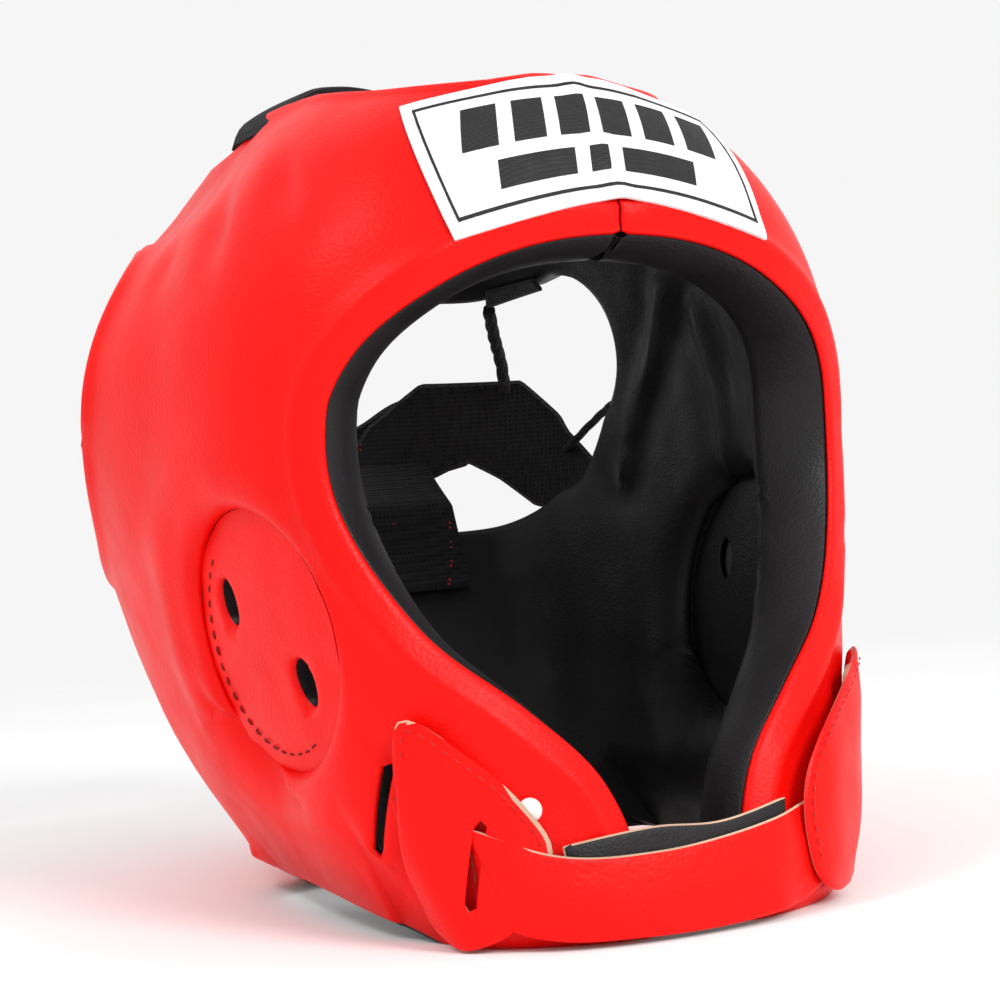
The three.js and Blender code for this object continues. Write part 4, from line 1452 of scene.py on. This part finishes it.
def make_crown_strap():
    """Strap over the crown that sags between the pads, its sewn end near the hinge."""
    points, faces = crown_layer(CROWN_SPAN, CROWN_WIDTH, crown_height, WEB_THICK, 66, 21)
    crown = add_mesh("crown_strap_web", points, faces, black_webbing, body=None, sharp=50)
    declared(crown, "black_webbing", "crown_strap", "crown_strap_base")
    hinge = lay(crown_place(CROWN_HINGE_X, CROWN_MIDDLE_Y), 0.0)
    start, stop = (tuple((hinge + step) * MM) for step in CROWN_BEND)
    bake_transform(crown)
    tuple(start)
    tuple(stop)


def crown_grip(half, height, body):
    points, faces = crown_layer(CROWN_GRIP, CROWN_GRIP_WIDTH,
                                lambda x, places: height - skin(places), 0.9, 14, 20)
    patch = add_mesh(f"crown_{half}_fabric", points, faces, hook_fabric, body=body, sharp=50)
    declared(patch, "hook_fabric", f"crown_{half}_patch")


make_crown_strap()
crown_grip("hook", 2.6, "crown_strap")
crown_grip("loop", 0.8, "shell")

# ---- Laces ----------------------------------------------------------------------------------

STRANDS = 3
STRAND_TWIST = 0.28            # radians from one ring of the cord to the next
STRAND_DEPTH = 0.20            # share of the radius by which the strands stand out


def twisted_cord(name, node, route, radius):
    """Lace of twisted strands through (azimuth, polar, depth) points."""
    line = catmull(np.array([lay(point[:2], point[2]) for point in route]), 48)
    ahead = unit(np.gradient(line, axis=0))
    side = unit(np.cross(ahead, [0.3, 0.2, 1.0]))
    other = np.cross(ahead, side)
    turn = np.radians(np.arange(0, 360, 15))
    rings = []
    for k, centre in enumerate(line):
        wave = np.abs(np.cos(STRANDS / 2 * (turn - STRAND_TWIST * k)))
        reach = radius * (1 - STRAND_DEPTH + STRAND_DEPTH * wave)
        rings.append(centre + reach[:, None] * circle_round(turn, side[k], other[k]))
    points, faces = tube_of(rings)
    declared(add_mesh(name, points, faces, lacing), "lacing", node)


twisted_cord("crown_lace_cord", "crown_lace",
             [(146, 61.5, 26.2), (147, 70, 19), (148, 79, 7.4), (148, 84.5, 5)], 2.4)
twisted_cord("side_lace_cord", "side_lace",
             [(111.5, 86.5, 22), (120, 88, 17), (130, 90.6, 9.5), (139, 93.4, 3.6)], 1.5)

# ---- Floor and light ------------------------------------------------------------------------

def area_light(name, place, aim, size, power):
    light = bpy.data.lights.new(name, "AREA")
    light.shape = "DISK"
    light.size = size
    light.energy = power
    lamp = bpy.data.objects.new(name, light)
    lamp.location = place
    lamp.rotation_euler = (Vector(aim) - Vector(place)).to_track_quat("-Z", "Y").to_euler()
    bpy.context.scene.collection.objects.link(lamp)


FLOOR_CLEAR = (0.35, 1.1)      # metres from the middle over which the floor melts into the backdrop


def floor_paint():
    paint = Paint("floor")
    paint.colours(paint.noise(3.0), (0.86, 0.86, 0.86), (0.90, 0.90, 0.90))
    paint.set(Roughness=0.9, Specular_IOR_Level=0.1)
    length = paint.node("ShaderNodeVectorMath", operation="LENGTH")
    paint.link(paint.place, length.inputs[0])
    paint.link(paint.ramp(length.outputs["Value"], 1.0, 0.0, FLOOR_CLEAR), paint.shader.inputs["Alpha"])
    return paint.material


def studio():
    world = bpy.data.worlds.new("studio")
    bpy.context.scene.world = world
    world.use_nodes = True
    world.node_tree.nodes["Background"].inputs["Color"].default_value = (1, 1, 1, 1)
    world.node_tree.nodes["Background"].inputs["Strength"].default_value = 0.92
    reach = 6000
    corners = np.array([(-reach, -reach, 0), (reach, -reach, 0), (reach, reach, 0),
                        (-reach, reach, 0)], float)
    floor = add_mesh("floor", corners, [(0, 1, 2, 3)], floor_paint(), body=None)
    area_light("key_light", (0.35, -1.7, 1.2), (0, 0, 0.13), 0.8, 24)
    area_light("rim_light", (-1.2, -0.3, 1.5), (0, 0, 0.15), 0.5, 7)
    bpy.context.scene.view_settings.view_transform = "Standard"


studio()
